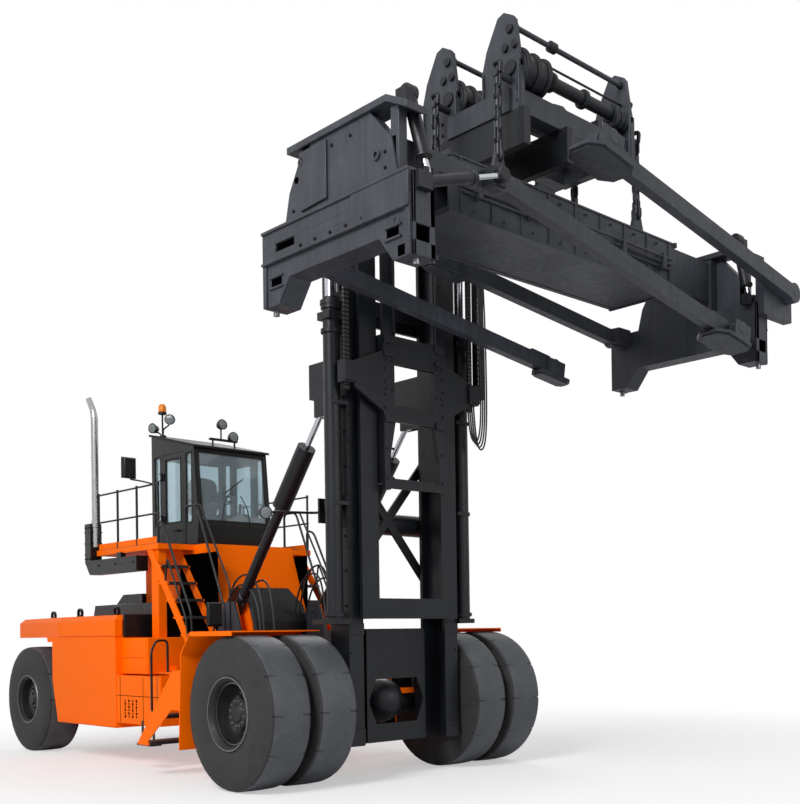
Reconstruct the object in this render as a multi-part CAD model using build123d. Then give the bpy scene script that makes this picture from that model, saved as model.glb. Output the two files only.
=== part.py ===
from build123d import *
import math
import os

# Heavy container-handling lift truck: a rigid chassis on twin drive wheels and two
# steered wheels, a two-stage mast ahead of the drive axle, and a container spreader
# hung from the carriage by four chains, with four folding lift legs.
# Millimetres. +X is the truck's left, -Y its front, +Z up. Pieces are drawn with the
# origin on the ground under the middle of the drive axle, and moved at the end so that
# it lies on the ground under the middle of the whole truck.

# Wheels and axles
wheelbase = 6760
drive_tyre_d = 1810
drive_tyre_w = 580
drive_overall_w = 4360
twin_gap = 70
drive_rim_r = 413
steer_tyre_d = 1670
steer_tyre_w = 560
steer_overall_w = 3470
steer_rim_r = 368
tyre_sides = 48
rim_wall = 25
kingpin_x = 1030
kingpin_r = 55
spindle_r = 90
axle_tube_r = 170
case_r = 225
case_y = (-335, 60)
slip = 0.1
drum_inset = 30

drive_z = drive_tyre_d / 2
steer_z = steer_tyre_d / 2
outer_tyre_x = drive_overall_w / 2 - drive_tyre_w / 2
inner_tyre_x = outer_tyre_x - drive_tyre_w - twin_gap
inner_tyre_face = inner_tyre_x - drive_tyre_w / 2
steer_tyre_x = steer_overall_w / 2 - steer_tyre_w / 2

# Chassis
frame_half = 620
frame_web = 40
frame_z = (560, 1380)
frame_front = 330
frame_step = wheelbase - 1100
frame_rear = wheelbase + 490
rear_frame_low = 1100
rear_frame_half = 350
body_half = 1700
slab_z = (1820, 2130)
slab_front = 3740
slab_bend = wheelbase - 1160
slab_rear = wheelbase + 990
slab_rear_half = 1440
slab_bevel = 70
body_bottom = 520
arch_front = wheelbase - 1080
arch_slope = 370
arch_gap = 30
box_top = 1270
box_front = 2450
box_bottom = 600
hood_half = 790
hood_y = (4715, slab_bend, wheelbase - 370)
hood_top = 2330
hood_wall = 25
hood_hump = 150
lid_gap = 5
lid_pin = (hood_y[2] + 15, slab_z[1] + 20)
lid_pin_r = 10
lid_hinge_x = 400
well_half = 700
well_rear = hood_y[2] - 90
well_low = 1900
engine_half = 480
engine_y = (3000, 5200)
engine_top = 1950
fender_z = 1850
fender_t = 16
fender_front = -130
fender_bend = 780
fender_rear = 1010
fender_bottom = 420
landing_z = (1300, 1330)
landing_half = 1560
landing_front = 1110
deck_z = (3060, 3140)
deck_half = 1300
deck_y = (3230, 5150)
post_y = (3290, 3490)
post_x = (1145, 1265)
stair_x = (830, 1290)
rail_r = 17
rail_top = 4020
rail_mid = 3570
base_half = 730
base_front_top = 2930
base_front_bottom = 2450
base_shoulder = 1860
base_rear = 4700
base_wall = 20

# Cab
cab_half = 620
cab_front = 3300
cab_rear = 4680
cab_floor = deck_z[1]
cab_belt = 3460
cab_roof_front = 4640
cab_roof_rear = 4930
cab_wall = 45
door_y = (cab_front + 420, cab_front + 1040)
door_gap = 6
hinge_r = 10
hinge_x = cab_half + 24
hinge_heights = (3600, 4250)

# Mast, upright and at rest
tilt_pin_y = -330
tilt_pin_z = drive_z
brace_t = 35
tilt_pin_r = 60
mast_bottom = 450
outer_top = 5950
outer_half = inner_tyre_face - 70
outer_web = 40
outer_flange = 45
outer_front = -620
outer_rear = -260
outer_lip_front = outer_half - 215
outer_lip_rear = outer_half - 320
tie_y = outer_rear + 120
tie_z = 3220
tie_r = 140
low_plate_y = (-430, -390)
low_plate_half = outer_lip_rear - 85
low_plate_top = 1870
inner_bottom = 1990
inner_top = 7700
inner_half = outer_half - outer_web - 70
inner_web = (inner_half - 170, inner_half - 130)
inner_flange = 50
inner_front = -750
inner_rear = -320
inner_lip = inner_half - 260
lift_x = outer_half + 160
lift_y = -560
lift_r = 100
lift_rod_r = 70
lift_z = (inner_bottom, 5750)
lift_rod_low = 3380
lift_head_z = (7300, 7450)
chain_x = lift_x - 40
chain_w = 70
chain_t = 40
chain_low = (4700, 3310)
sheave_r = 172
sheave_y = -598
sheave_z = 7640
carriage_half = inner_lip - 20
carriage_plate = 55
carriage_front = -860
carriage_low = 3560
carriage_top = 7460
roller_low = 3790
roller_high = 5300
tilt_x = outer_half - 180
tilt_foot = (2140, 2170)
tilt_head = (110, 4620)
tilt_barrel_r = 120
tilt_strut_r = 70
tilt_rod_r = 37
tilt_eye_r = 75
tilt_eye_w = 76
tilt_pin_bore = 34
tilt_barrel_from = 1720
tilt_barrel_to = 2645
tilt_rod_from = 2200
cheek_t = 25
foot_base_y = (1880, 2430)

# Attachment: the spreader hangs with its middle to the left of the truck's middle
shift_x = 600
spread_y = -2478
corner_dx = 2927
corner_dy = 1130
end_half_w = 1190
lock_z = 5190
lock_r = 33
end_z = (5250, 6020)
end_x = 3020
end_depth = 260
beam_half_w = 530
beam_z = (6120, 6720)
beam_half_l = 1950
beam_wall = 25
tele_gap = 10
pad_length = 300
hang_half = 960
hang_dy = 500
hang_z = (7060, 7460)
hang_beam = 250
ear_top = 8500
ear_low = 7800
ear_t = 60
hook_dx = 240
arm_x = (carriage_half - 190, carriage_half - 90)
leg_w = 130
leg_h = 190
leg_hub_r = 130
leg_pin_r = 45
tower_t = 120

os.makedirs("parts", exist_ok=True)


def block(x, y, z):
    """A box from its low and high x, y and z."""
    size = [abs(pair[1] - pair[0]) for pair in (x, y, z)]
    middle = [(pair[0] + pair[1]) / 2 for pair in (x, y, z)]
    return Pos(*middle) * Box(*size)


def outline(points):
    return make_face(Polyline(*points, close=True))


def side_plate(points, x):
    """An outline in y and z, as thick as the two x values."""
    return extrude(Plane.YZ.offset(min(x)) * outline(points), amount=abs(x[1] - x[0]))


def front_plate(points, y):
    """An outline in x and z, as thick as the two y values."""
    return extrude(Plane.XZ.offset(-max(y)) * outline(points), amount=abs(y[1] - y[0]))


def flat_plate(points, z):
    """An outline in x and y, as thick as the two z values."""
    return extrude(Plane.XY.offset(min(z)) * outline(points), amount=abs(z[1] - z[0]))


def rod(start, end, radius):
    """A round bar between two points."""
    run = Vector(*end) - Vector(*start)
    return Solid.make_cylinder(radius, run.length, Plane(origin=start, z_dir=run))


def fused(*pieces):
    return pieces[0].fuse(*pieces[1:]).clean() if len(pieces) > 1 else pieces[0]


def mirrored(piece):
    return mirror(piece, about=Plane.YZ)


def handed(piece, side):
    """The left piece for side 1, its mirror image for side -1."""
    return piece if side > 0 else mirrored(piece)


nodes = {}


def save(name, *pieces):
    """Keeps one node, of one or more solids that don't touch."""
    nodes[name] = [s for piece in pieces for s in piece.solids()]


side_names = {1: "left", -1: "right"}


# Tyres: bands between flat-sided rings, with one flat on the ground
def ring_of_sides(radius, x):
    corner = radius / math.cos(math.pi / tyre_sides)
    turns = [2 * math.pi * (k + 0.5) / tyre_sides for k in range(tyre_sides)]
    points = [(corner * math.sin(a), corner * math.cos(a)) for a in turns]
    return Plane.YZ.offset(x) * outline(points)


def tyre(diameter, width, bore):
    """A slick tyre about the x axis, at the origin."""
    radius = diameter / 2
    wall = radius - bore
    half = width / 2
    # columns: share of the half width, radius
    bands = ((0.80, bore), (1.0, bore + 0.55 * wall), (0.97, bore + 0.84 * wall),
             (0.80, bore + 0.97 * wall), (0.60, radius))
    rings = [ring_of_sides(r, -half * share) for share, r in bands]
    rings += [ring_of_sides(r, half * share) for share, r in reversed(bands)]
    pieces = [loft([near, far], ruled=True) for near, far in zip(rings, rings[1:])]
    return pieces[0].fuse(*pieces[1:]) - extrude(ring_of_sides(bore, -width), amount=2 * width)


drive_tyre = tyre(drive_tyre_d, drive_tyre_w, drive_rim_r)
steer_tyre = tyre(steer_tyre_d, steer_tyre_w, steer_rim_r)


# Chassis frame: two webs that narrow toward the steered wheels, with cross members
def chassis_frame():
    inside = (-frame_half + frame_web, frame_half - frame_web)
    web = block((inside[1], frame_half), (frame_front, frame_step), frame_z)
    cross = [block(inside, (y, y + 60), frame_z) for y in (frame_front, 1500, 2900, frame_step - 60)]
    rear_x = (-rear_frame_half, rear_frame_half)
    rear = block(rear_x, (frame_step - 30, frame_rear), (rear_frame_low, frame_z[1]))
    floor = block(inside, (frame_front, frame_step), (frame_z[0], frame_z[0] + 20))
    return fused(web, mirrored(web), *cross, rear, floor)


def landing():
    """The landing beside the cab, on both sides of each web, with the tilt cylinders' seats."""
    plate = block((-landing_half, landing_half), (landing_front, box_front + 300), landing_z)
    tower = block((tilt_x - 120, tilt_x + 120), foot_base_y, (landing_z[1] - 5, fender_z))
    pin_r = tilt_pin_bore - slip
    tower += rod((tilt_x - 90, *tilt_foot), (tilt_x + 90, *tilt_foot), pin_r)
    y, z = tilt_foot
    shape = [(foot_base_y[0] + 20, fender_z - 5), (foot_base_y[1] - 20, fender_z - 5), (foot_base_y[1] - 60, fender_z + 120),
             (y + 110, z + 90), (y - 110, z + 90), (foot_base_y[0] + 40, fender_z + 120)]
    for x in (tilt_x - tilt_strut_r - 5 - cheek_t, tilt_x + tilt_strut_r + 5):
        tower += side_plate(shape, (x, x + cheek_t))
    return fused(plate, tower, mirrored(tower)) - block((-frame_half, frame_half), (frame_front, frame_step), frame_z)


def side_box():
    """Tank and service box between the wheels, and the upper box in front of the counterweight."""
    outer = block((frame_half, body_half - 10), (box_front, slab_front), (box_bottom, box_top))
    outer += block((frame_half, deck_half - 10), (box_front + 300, slab_front), (box_top, landing_z[0]))
    upper = block((base_half + 5, deck_half - 10), (3600, slab_front), (landing_z[0], slab_z[0] - 20))
    return fused(outer, upper)


save("chassis_frame", chassis_frame())
save("landing", landing())
for side, name in side_names.items():
    save(f"side_box_{name}", handed(side_box(), side))


# Counterweight: a slab that overhangs the steered wheels, on a body cut for their turning
def counterweight():
    plan = [(-body_half, slab_front), (body_half, slab_front), (body_half, slab_bend),
            (slab_rear_half, slab_rear), (-slab_rear_half, slab_rear), (-body_half, slab_bend)]
    slab = flat_plate(plan, slab_z)
    slab = chamfer(slab.edges().group_by(Axis.Z)[-1], slab_bevel)
    profile = [(slab_front, body_bottom), (arch_front, body_bottom),
               (arch_front + arch_slope, slab_z[0]), (slab_front, slab_z[0])]
    body = side_plate(profile, (-body_half, body_half))
    core = block((-rear_frame_half, rear_frame_half), (arch_front, slab_rear - 250), (frame_z[1], slab_z[0]))
    whole = fused(slab, body, core)
    sweep = math.hypot(steer_overall_w / 2 - kingpin_x, steer_tyre_d / 2) + arch_gap
    for side in side_names:
        whole -= Pos(side * kingpin_x, wheelbase, slab_z[0] - 70) * Cylinder(
            sweep, slab_z[0], align=(Align.CENTER, Align.CENTER, Align.MAX))
    whole -= block((-frame_half, frame_half), (slab_front - 1, slab_rear), (0, frame_z[1]))
    side = hood_half + lid_gap
    whole -= block((-side, side), (slab_front - 1, hood_y[1] + lid_gap), (frame_z[1], slab_z[1] + 1))
    whole -= block((-well_half, well_half), (hood_y[1], well_rear), (well_low, slab_z[1] + 1))
    y, z = lid_pin
    lugs = []
    for side in side_names:
        x = sorted((side * lid_hinge_x, side * (lid_hinge_x + 30)))
        lugs.append(block(x, (hood_y[2] + 2, y + 20), (slab_z[1] - 5, z + 22)))
        lugs.append(rod((side * (lid_hinge_x + 5), y, z), (side * (lid_hinge_x + 55), y, z), lid_pin_r))
    return fused(whole, *lugs)


save("counterweight", counterweight())

# Engine and gearbox, closed in, as one plain mass
save("engine_block", block((-engine_half, engine_half), engine_y, (frame_z[0] + 20, engine_top)))


# Hood: a fixed cowl with a raised middle behind the cab base, and a lid behind it
def hood_shell(shape, room):
    return side_plate(shape, (-hood_half, hood_half)) - side_plate(room, (-hood_half + hood_wall, hood_half - hood_wall))


def hood_cowl():
    low = frame_z[1]
    rise = hood_top + hood_hump
    w = hood_wall
    front, rear = hood_y[:2]
    shape = [(front, low), (rear, low), (rear, hood_top), (rear - 40, hood_top), (rear - 270, rise), (front, rise)]
    room = [(front - 1, low - 1), (rear + 1, low - 1), (rear + 1, hood_top - w), (rear - 40, hood_top - w),
            (rear - 270, rise - w), (front - 1, rise - w)]
    return hood_shell(shape, room)


def hood_lid():
    low = slab_z[1] + lid_gap
    w = hood_wall
    front = hood_y[1] + lid_gap
    rear = hood_y[2]
    shape = [(front, low), (rear, low), (rear - 70, hood_top), (front, hood_top)]
    room = [(front - 1, low - 1), (rear - w, low - 1), (rear - 60 - w, hood_top - w), (front - 1, hood_top - w)]
    lid = hood_shell(shape, room)
    y, z = lid_pin
    for side in side_names:
        notch = sorted((side * (lid_hinge_x - 5), side * (lid_hinge_x + 36)))
        lid -= block(notch, (rear - 90, y), (low - 1, z + 40))
        ear = sorted((side * (lid_hinge_x + 36), side * (lid_hinge_x + 54)))
        lid += block(ear, (rear - 20, y + 12), (z - 12, z + 18))
        lid -= rod((side * lid_hinge_x, y, z), (side * (lid_hinge_x + 60), y, z), lid_pin_r + slip)
    return lid


save("hood_cowl", hood_cowl())
save("hood_lid", hood_lid())


# Fenders over the twin wheels, with a mudguard behind them
def fender():
    x = (inner_tyre_face + 10, drive_overall_w / 2 + 10)
    t = fender_t
    shape = [(fender_front, fender_z), (fender_bend, fender_z), (fender_rear, fender_z - 260),
             (fender_rear + 60, fender_bottom), (fender_rear + 60 + t, fender_bottom),
             (fender_rear + t, fender_z - 255), (fender_bend + 8, fender_z + t), (fender_front, fender_z + t)]
    skin = side_plate(shape, x)
    lip = block((x[1] - t, x[1]), (fender_front, fender_bend), (fender_z - 40, fender_z))
    bracket = block((x[0] + 20, landing_half), (fender_rear - 40, landing_front), (landing_z[0] - 60, landing_z[1]))
    return fused(skin, lip, bracket)


# Lower steps: two plates with three treads, going down to the rear
def lower_steps():
    x = (landing_half, 2140)
    top = landing_front
    plate = [(top, 1390), (top + 200, 1390), (2230, 450), (2000, 450), (top + 250, 900), (top, 900)]
    pieces = [side_plate(plate, (x[0], x[0] + 14)), side_plate(plate, (x[1] - 14, x[1]))]
    # columns: tread centre y, height
    for y, z in ((1420, 1150), (1700, 800), (2080, 440)):
        pieces.append(block(x, (y - 130, y + 150), (z - 20, z + 20)))
    return fused(*pieces)


# Upper stairs from the landing to the deck, beside the cab base
def stairs():
    foot = (2130, landing_z[1])
    top = (3500, deck_z[0])
    depth = 80
    run = (top[0] - foot[0], top[1] - foot[1])
    band = [(foot[0] - depth, foot[1]), (foot[0] + depth, foot[1]), (top[0] + depth, top[1]), (top[0] - depth, top[1])]
    pieces = [side_plate(band, (stair_x[0], stair_x[0] + 20)), side_plate(band, (stair_x[1] - 20, stair_x[1]))]
    treads = 6
    for k in range(1, treads + 1):
        y = foot[0] + run[0] * k / (treads + 1)
        z = foot[1] + run[1] * k / (treads + 1)
        pieces.append(block(stair_x, (y - 120, y + 120), (z - 15, z + 15)))
    post_room = block((post_x[0] - 4, post_x[1] + 4), (post_y[0] - 4, deck_y[1]), (foot[1], deck_z[1]))
    return fused(*pieces) - post_room


for side, name in side_names.items():
    save(f"fender_{name}", handed(fender(), side))
    save(f"lower_steps_{name}", handed(lower_steps(), side))
    save(f"stairs_{name}", handed(stairs(), side))


# Deck round the cab base, notched for the stairs, on posts that stand on the landing
def platform():
    plate = block((-deck_half, deck_half), deck_y, deck_z)
    side = base_half
    plate -= block((-side, side), (deck_y[0] - 1, base_rear), (deck_z[0] - 1, deck_z[1] + 1))
    post = block(post_x, post_y, (landing_z[1], deck_z[0] + 1))
    foot = block(post_x, (box_front + 320, post_y[1]), (landing_z[1], landing_z[1] + 60))
    half = fused(post, foot)
    return fused(plate, half, mirrored(half))


# Handrails: posts with a top and a middle rail beside the deck
def handrail():
    x = deck_half - 30
    y = (deck_y[0] + 30, deck_y[1] - 30)
    pieces = [rod((x, py, deck_z[1]), (x, py, rail_top), rail_r) for py in (y[0], 3900, 4500, y[1])]
    pieces += [rod((x, y[0] - 20, z), (x, y[1] + 20, z), rail_r - 3) for z in (rail_mid, rail_top - 30)]
    return fused(*pieces)


# Exhaust: upright pipe with a turned tip, a shield and a silencer under the deck
def exhaust():
    x = -deck_half
    y = deck_y[1] + 110
    pipe = rod((x, y, 3500), (x, y, 5320), 60)
    bend = Pos(x, y, 5320) * Sphere(62)
    tip = rod((x, y, 5320), (x, y + 120, 5440), 55)
    shape = [(y - 95, 3560), (y + 95, 3560), (y + 95, 2960), (y - 60, 2770), (3700, 2770), (3700, 2990), (y - 95, 2990)]
    shield = side_plate(shape, (x - 90, x + 90))
    hanger = block((x - 30, x + 30), (4300, 4400), (2980, deck_z[0]))
    return fused(pipe, bend, tip, shield, hanger)


save("platform", platform())
save("handrails", handrail(), mirrored(handrail()))
save("exhaust", exhaust())


# Cab base: a hollow box with a sloped front, and the cover that stands before it
def cab_base():
    shape = [(base_front_bottom, frame_z[1]), (base_rear, frame_z[1]), (base_rear, deck_z[1]),
             (base_front_top, deck_z[1]), (base_front_bottom, base_shoulder)]
    w = base_wall
    room = [(base_front_bottom + w, frame_z[1] - 1), (base_rear + 1, frame_z[1] - 1), (base_rear + 1, deck_z[0]),
            (base_front_top + 2 * w, deck_z[0]), (base_front_bottom + w, base_shoulder)]
    return side_plate(shape, (-base_half, base_half)) - side_plate(room, (-base_half + w, base_half - w))


def front_cover():
    """A bulged cover on the sloped front, with its upper corners cut."""
    lean = (base_front_top - base_front_bottom) / (deck_z[1] - base_shoulder)
    high = 2500
    front = base_front_bottom - 150
    shape = [(base_front_bottom, base_shoulder), (base_front_bottom + (high - base_shoulder) * lean, high),
             (front + (high - base_shoulder) * lean, high), (front, base_shoulder + 150), (front, base_shoulder)]
    cover = side_plate(shape, (-580, 580))
    for side in side_names:
        corner = [(side * 581, 2250), (side * 581, high + 1), (side * 400, high + 1)]
        cover -= front_plate(corner, (front - 10, 3000))
    return cover


save("cab_base", cab_base())
save("front_cover", front_cover())


# Cab shell: floor, pillars and roof, hollow, with every window cut
def cab_shell():
    side = [(cab_front + 40, cab_floor), (cab_rear, cab_floor), (cab_rear, cab_roof_rear),
            (cab_front + 120, cab_roof_front), (cab_front, cab_belt)]
    w = cab_wall
    room = [(cab_front + 40 + w, cab_floor + w), (cab_rear - w, cab_floor + w), (cab_rear - w, cab_roof_rear - 70),
            (cab_front + 120 + w, cab_roof_front - 50), (cab_front + w, cab_belt)]
    shell = side_plate(side, (-cab_half, cab_half))
    shell -= side_plate(room, (-cab_half + w, cab_half - w))
    sill = cab_belt + 30
    head = cab_roof_front - 90
    shell -= block((-cab_half + 60, cab_half - 60), (cab_front - 50, cab_front + 200), (sill, head))
    shell -= block((-cab_half + 90, cab_half - 90), (cab_rear - 100, cab_rear + 50), (sill + 120, head))
    through = (-cab_half - 50, cab_half + 50)
    shell -= block(through, (cab_front + 170, door_y[0] - 60), (sill, head))
    shell -= block(through, door_y, (cab_floor + w, head + 30))
    shell -= block(through, (door_y[1] + 60, cab_rear - 80), (sill, head + 30))
    hinges = []
    for z in hinge_heights:
        hinges.append(Pos(hinge_x, door_y[1], z) * Cylinder(hinge_r, 112))
        for dz in (-49, 49):
            high = (z + dz - 8, z + dz + 8)
            hinges.append(block((cab_half - 2, hinge_x + 18), (door_y[1] + 2, door_y[1] + 40), high))
            hinges.append(block((hinge_x - 14, hinge_x + 18), (door_y[1] - 14, door_y[1] + 10), high))
    return fused(shell, *hinges, *[mirrored(piece) for piece in hinges])


def cab_door():
    x = (cab_half - cab_wall, cab_half)
    y = (door_y[0] + door_gap, door_y[1] - door_gap)
    z = (cab_floor + cab_wall + door_gap, cab_roof_front - 60 - door_gap)
    leaf = block(x, y, z)
    leaf -= block((x[0] - 5, x[1] + 5), (y[0] + 70, y[1] - 70), (cab_belt + 60, z[1] - 70))
    for height in hinge_heights:
        leaf += block((x[1] - 5, x[1] + 7), (y[1] - 60, y[1]), (height - 40, height + 40))
        leaf += block((x[1] + 7, x[1] + 15), (y[1] - 60, door_y[1]), (height - 40, height + 40))
        leaf += Pos(hinge_x, door_y[1], height) * Cylinder(hinge_r + 8, 80)
        leaf -= Pos(hinge_x, door_y[1], height) * Cylinder(hinge_r + slip, 90)
    return leaf


save("cab_shell", cab_shell())
for side, name in side_names.items():
    save(f"cab_door_{name}", handed(cab_door(), side))
seat_y = 4020
cab_inside = cab_floor + cab_wall
save("driver_seat", fused(
    block((-150, 150), (seat_y - 150, seat_y + 150), (cab_inside, cab_inside + 355)),
    block((-240, 240), (seat_y - 250, seat_y + 290), (cab_inside + 355, cab_inside + 475)),
    block((-240, 240), (seat_y + 180, seat_y + 290), (cab_inside + 475, cab_inside + 1100))))
wheel_place = Pos(0, cab_front + 400, cab_inside + 690) * Rot(-15, 0, 0)
column = rod((0, cab_front + 270, cab_inside - 60), (0, cab_front + 400, cab_inside + 690), 45)
column -= block((-100, 100), (cab_front, cab_front + 600), (cab_inside - 300, cab_inside))
save("steering_column", fused(column, wheel_place * Torus(190, 14), wheel_place * Box(380, 40, 16)))


# Drive axle: a tube with a round gear case, seats under the frame and brackets for the mast pins
def drive_axle():
    end = inner_tyre_face + drum_inset - slip
    tube = rod((-end, 0, drive_z), (end, 0, drive_z), axle_tube_r)
    case = rod((0, case_y[1], drive_z + 50), (0, case_y[0], drive_z + 50), case_r)
    case = chamfer(case.edges().group_by(Axis.Y)[0], 90, 60)
    pieces = [tube, case]
    for side in side_names:
        pieces.append(block(sorted((side * 310, side * 530)), (-100, frame_front), (drive_z + 60, frame_z[1] - 40)))
        shape = [(tilt_pin_y - 80, drive_z - 90), (-60, drive_z - 140), (-60, drive_z + 140), (tilt_pin_y - 80, drive_z + 90)]
        arm = side_plate(shape, sorted((side * (outer_half + 10), side * (inner_tyre_face - 25))))
        pin_x = (side * (outer_half - outer_web + 2), side * (outer_half + 20))
        pin = rod((pin_x[0], tilt_pin_y, tilt_pin_z), (pin_x[1], tilt_pin_y, tilt_pin_z), tilt_pin_r)
        pieces += [arm, pin]
    return fused(*pieces)


save("drive_axle", drive_axle())


# Drive wheels: twin tyres on one rim with a drum that runs on the axle end
def drive_rim():
    span = drive_overall_w / 2 - inner_tyre_face
    disc_at = span / 2 - 300
    shell = Cylinder(drive_rim_r, span - 60) - Cylinder(drive_rim_r - rim_wall, span)
    disc = Pos(0, 0, disc_at) * Cylinder(drive_rim_r - rim_wall + 1, 40)
    hub = Pos(0, 0, disc_at + 70) * Cylinder(190, 160)
    drum_low = -span / 2 + drum_inset
    drum = Pos(0, 0, (drum_low + disc_at) / 2) * Cylinder(300, disc_at - drum_low)
    return fused(shell, disc, hub, drum)


for side, name in side_names.items():
    places = [Pos(side * x, 0, drive_z) for x in (outer_tyre_x, inner_tyre_x)]
    save(f"drive_tyres_{name}", *[place * drive_tyre for place in places])
    middle = (drive_overall_w / 2 + inner_tyre_face) / 2
    save(f"drive_rims_{name}", Pos(side * middle, 0, drive_z) * Rot(0, 90 * side, 0) * drive_rim())


# Steer axle: a beam with an eye at each end, and knuckles that turn on kingpins
def steer_axle():
    beam = block((-kingpin_x + 60, kingpin_x - 60), (wheelbase - 170, wheelbase + 170), (steer_z - 130, steer_z + 130))
    mount = block((-300, 300), (wheelbase - 200, wheelbase + 200), (steer_z + 130, rear_frame_low))
    whole = fused(beam, mount)
    for side in side_names:
        whole = fused(whole, Pos(side * kingpin_x, wheelbase, steer_z) * Cylinder(130, 300))
    for side in side_names:
        whole -= Pos(side * kingpin_x, wheelbase, steer_z) * Cylinder(kingpin_r + slip, 400)
    return whole


def knuckle():
    fork_x = (kingpin_x - 110, kingpin_x + 250)
    y = (wheelbase - 100, wheelbase + 100)
    pieces = [Pos(kingpin_x, wheelbase, steer_z) * Cylinder(kingpin_r, 400)]
    for s in (-1, 1):
        pieces.append(block(fork_x, y, sorted((steer_z + s * 155, steer_z + s * 200))))
    pieces.append(block((kingpin_x + 190, kingpin_x + 250), y, (steer_z - 200, steer_z + 200)))
    pieces.append(rod((kingpin_x + 240, wheelbase, steer_z), (steer_tyre_x + 100, wheelbase, steer_z), spindle_r))
    return fused(*pieces)


def steer_rim():
    shell = Cylinder(steer_rim_r, steer_tyre_w - 40) - Cylinder(steer_rim_r - rim_wall, steer_tyre_w)
    disc = Pos(0, 0, 60) * Cylinder(steer_rim_r - rim_wall + 1, 40)
    hub = Pos(0, 0, 60) * Cylinder(150, 200)
    return fused(shell, disc, hub) - Pos(0, 0, -200 + 100) * Cylinder(spindle_r + slip, 400)


save("steer_axle", steer_axle())
for side, name in side_names.items():
    save(f"knuckle_{name}", handed(knuckle(), side))
    save(f"steer_tyre_{name}", Pos(side * steer_tyre_x, wheelbase, steer_z) * steer_tyre)
    save(f"steer_rim_{name}", Pos(side * steer_tyre_x, wheelbase, steer_z) * Rot(0, 90 * side, 0) * steer_rim())


# Outer mast: two channels open inward, a pierced lower plate, a head and a round tie
def outer_upright():
    section = [
        (outer_lip_front, outer_front), (outer_half, outer_front), (outer_half, outer_rear),
        (outer_lip_rear, outer_rear), (outer_lip_rear, outer_rear - outer_flange),
        (outer_half - outer_web, outer_rear - outer_flange),
        (outer_half - outer_web, outer_front + outer_flange), (outer_lip_front, outer_front + outer_flange)]
    upright = flat_plate(section, (mast_bottom, outer_top))
    web = (outer_half - outer_web, outer_half)
    ear = block(web, (tilt_pin_y - 90, outer_rear + 30), (tilt_pin_z - 120, tilt_pin_z + 120))
    upright = fused(upright, ear)
    return upright - rod((web[0] - 1, tilt_pin_y, tilt_pin_z), (web[1] + 1, tilt_pin_y, tilt_pin_z), tilt_pin_r + slip)


def mast_brackets():
    """Shelf and collar of one lift cylinder, and the bracket of one tilt cylinder."""
    side_x = (outer_half, lift_x + lift_r + 15)
    shelf = block(side_x, (lift_y - lift_r - 10, outer_rear), (lift_z[0] - 60, lift_z[0]))
    collar = block(side_x, (lift_y - lift_r - 20, lift_y + lift_r + 20), (5560, 5650))
    collar -= Pos(lift_x, lift_y, 5600) * Cylinder(lift_r + slip, 200)
    return shelf, collar, tilt_bracket()


def tilt_bracket():
    """A box behind the upright, and two cheeks with the pin of the tilt cylinder's rod."""
    y, z = tilt_head
    gap = tilt_eye_w / 2 + 5
    box = block((tilt_x - 60, tilt_x + 60), (outer_rear, y + 190), (z + 160, z + 600))
    pieces = [box, rod((tilt_x - gap - 5, y, z), (tilt_x + gap + 5, y, z), tilt_pin_bore - slip)]
    for x in (tilt_x - gap - cheek_t, tilt_x + gap):
        pieces.append(block((x, x + cheek_t), (outer_rear, y + 80), (z - 80, z + 260)))
    return fused(*pieces)


def outer_mast():
    half = outer_upright()
    y = (outer_rear - outer_flange, outer_rear)
    lip = outer_lip_rear + 5
    plate = block((-low_plate_half, low_plate_half), low_plate_y, (mast_bottom, low_plate_top))
    plate -= front_plate([(-450, 960), (-330, 680), (330, 680), (450, 960), (330, 1240), (-330, 1240)],
                         (low_plate_y[0] - 1, low_plate_y[1] + 1))
    ties = []
    for side in side_names:
        x = sorted((side * (low_plate_half - 40), side * low_plate_half))
        ties.append(block(x, (low_plate_y[0], y[1]), (mast_bottom, low_plate_top)))
        x = sorted((side * (low_plate_half - 40), side * lip))
        ties.append(block(x, y, (mast_bottom, low_plate_top)))
    head = block((-lip, lip), y, (outer_top - 260, outer_top))
    tube = rod((-lip - 60, tie_y, tie_z), (lip + 60, tie_y, tie_z), tie_r)
    return fused(half, mirrored(half), plate, *ties, head, tube)


def mast_brace():
    """Two crossed bars between the rear lips of the uprights."""
    bars = []
    # columns: height of the bar's right end, of its left end
    for low, high in ((3950, 2570), (2570, 3950)):
        length = 2.2 * math.hypot(outer_lip_rear, (high - low) / 2)
        lean = math.degrees(math.atan2(high - low, 2 * outer_lip_rear))
        place = Pos(0, outer_rear - outer_flange / 2, (low + high) / 2)
        bars.append(place * Rot(0, -lean, 0) * Box(length, brace_t, 110))
    between = block((-outer_lip_rear, outer_lip_rear), (outer_front, outer_rear), (mast_bottom, outer_top))
    return (fused(*bars) & between) - rod((-outer_half, tie_y, tie_z), (outer_half, tie_y, tie_z), tie_r)


def lift_barrel():
    low_end = (Align.CENTER, Align.CENTER, Align.MIN)
    height = lift_z[1] - lift_z[0]
    tube = Cylinder(lift_r, height, align=low_end)
    tube = fused(tube, Pos(0, 0, height - 60) * Cylinder(lift_r + 22, 60, align=low_end))
    tube -= Pos(0, 0, 45) * Cylinder(lift_rod_r + slip, height, align=low_end)
    return Pos(lift_x, lift_y, lift_z[0]) * tube


save("outer_mast", outer_mast())
save("mast_brace", mast_brace())
save("mast_brackets", *mast_brackets(), *[mirrored(piece) for piece in mast_brackets()])
save("lift_barrels", lift_barrel(), mirrored(lift_barrel()))


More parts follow.
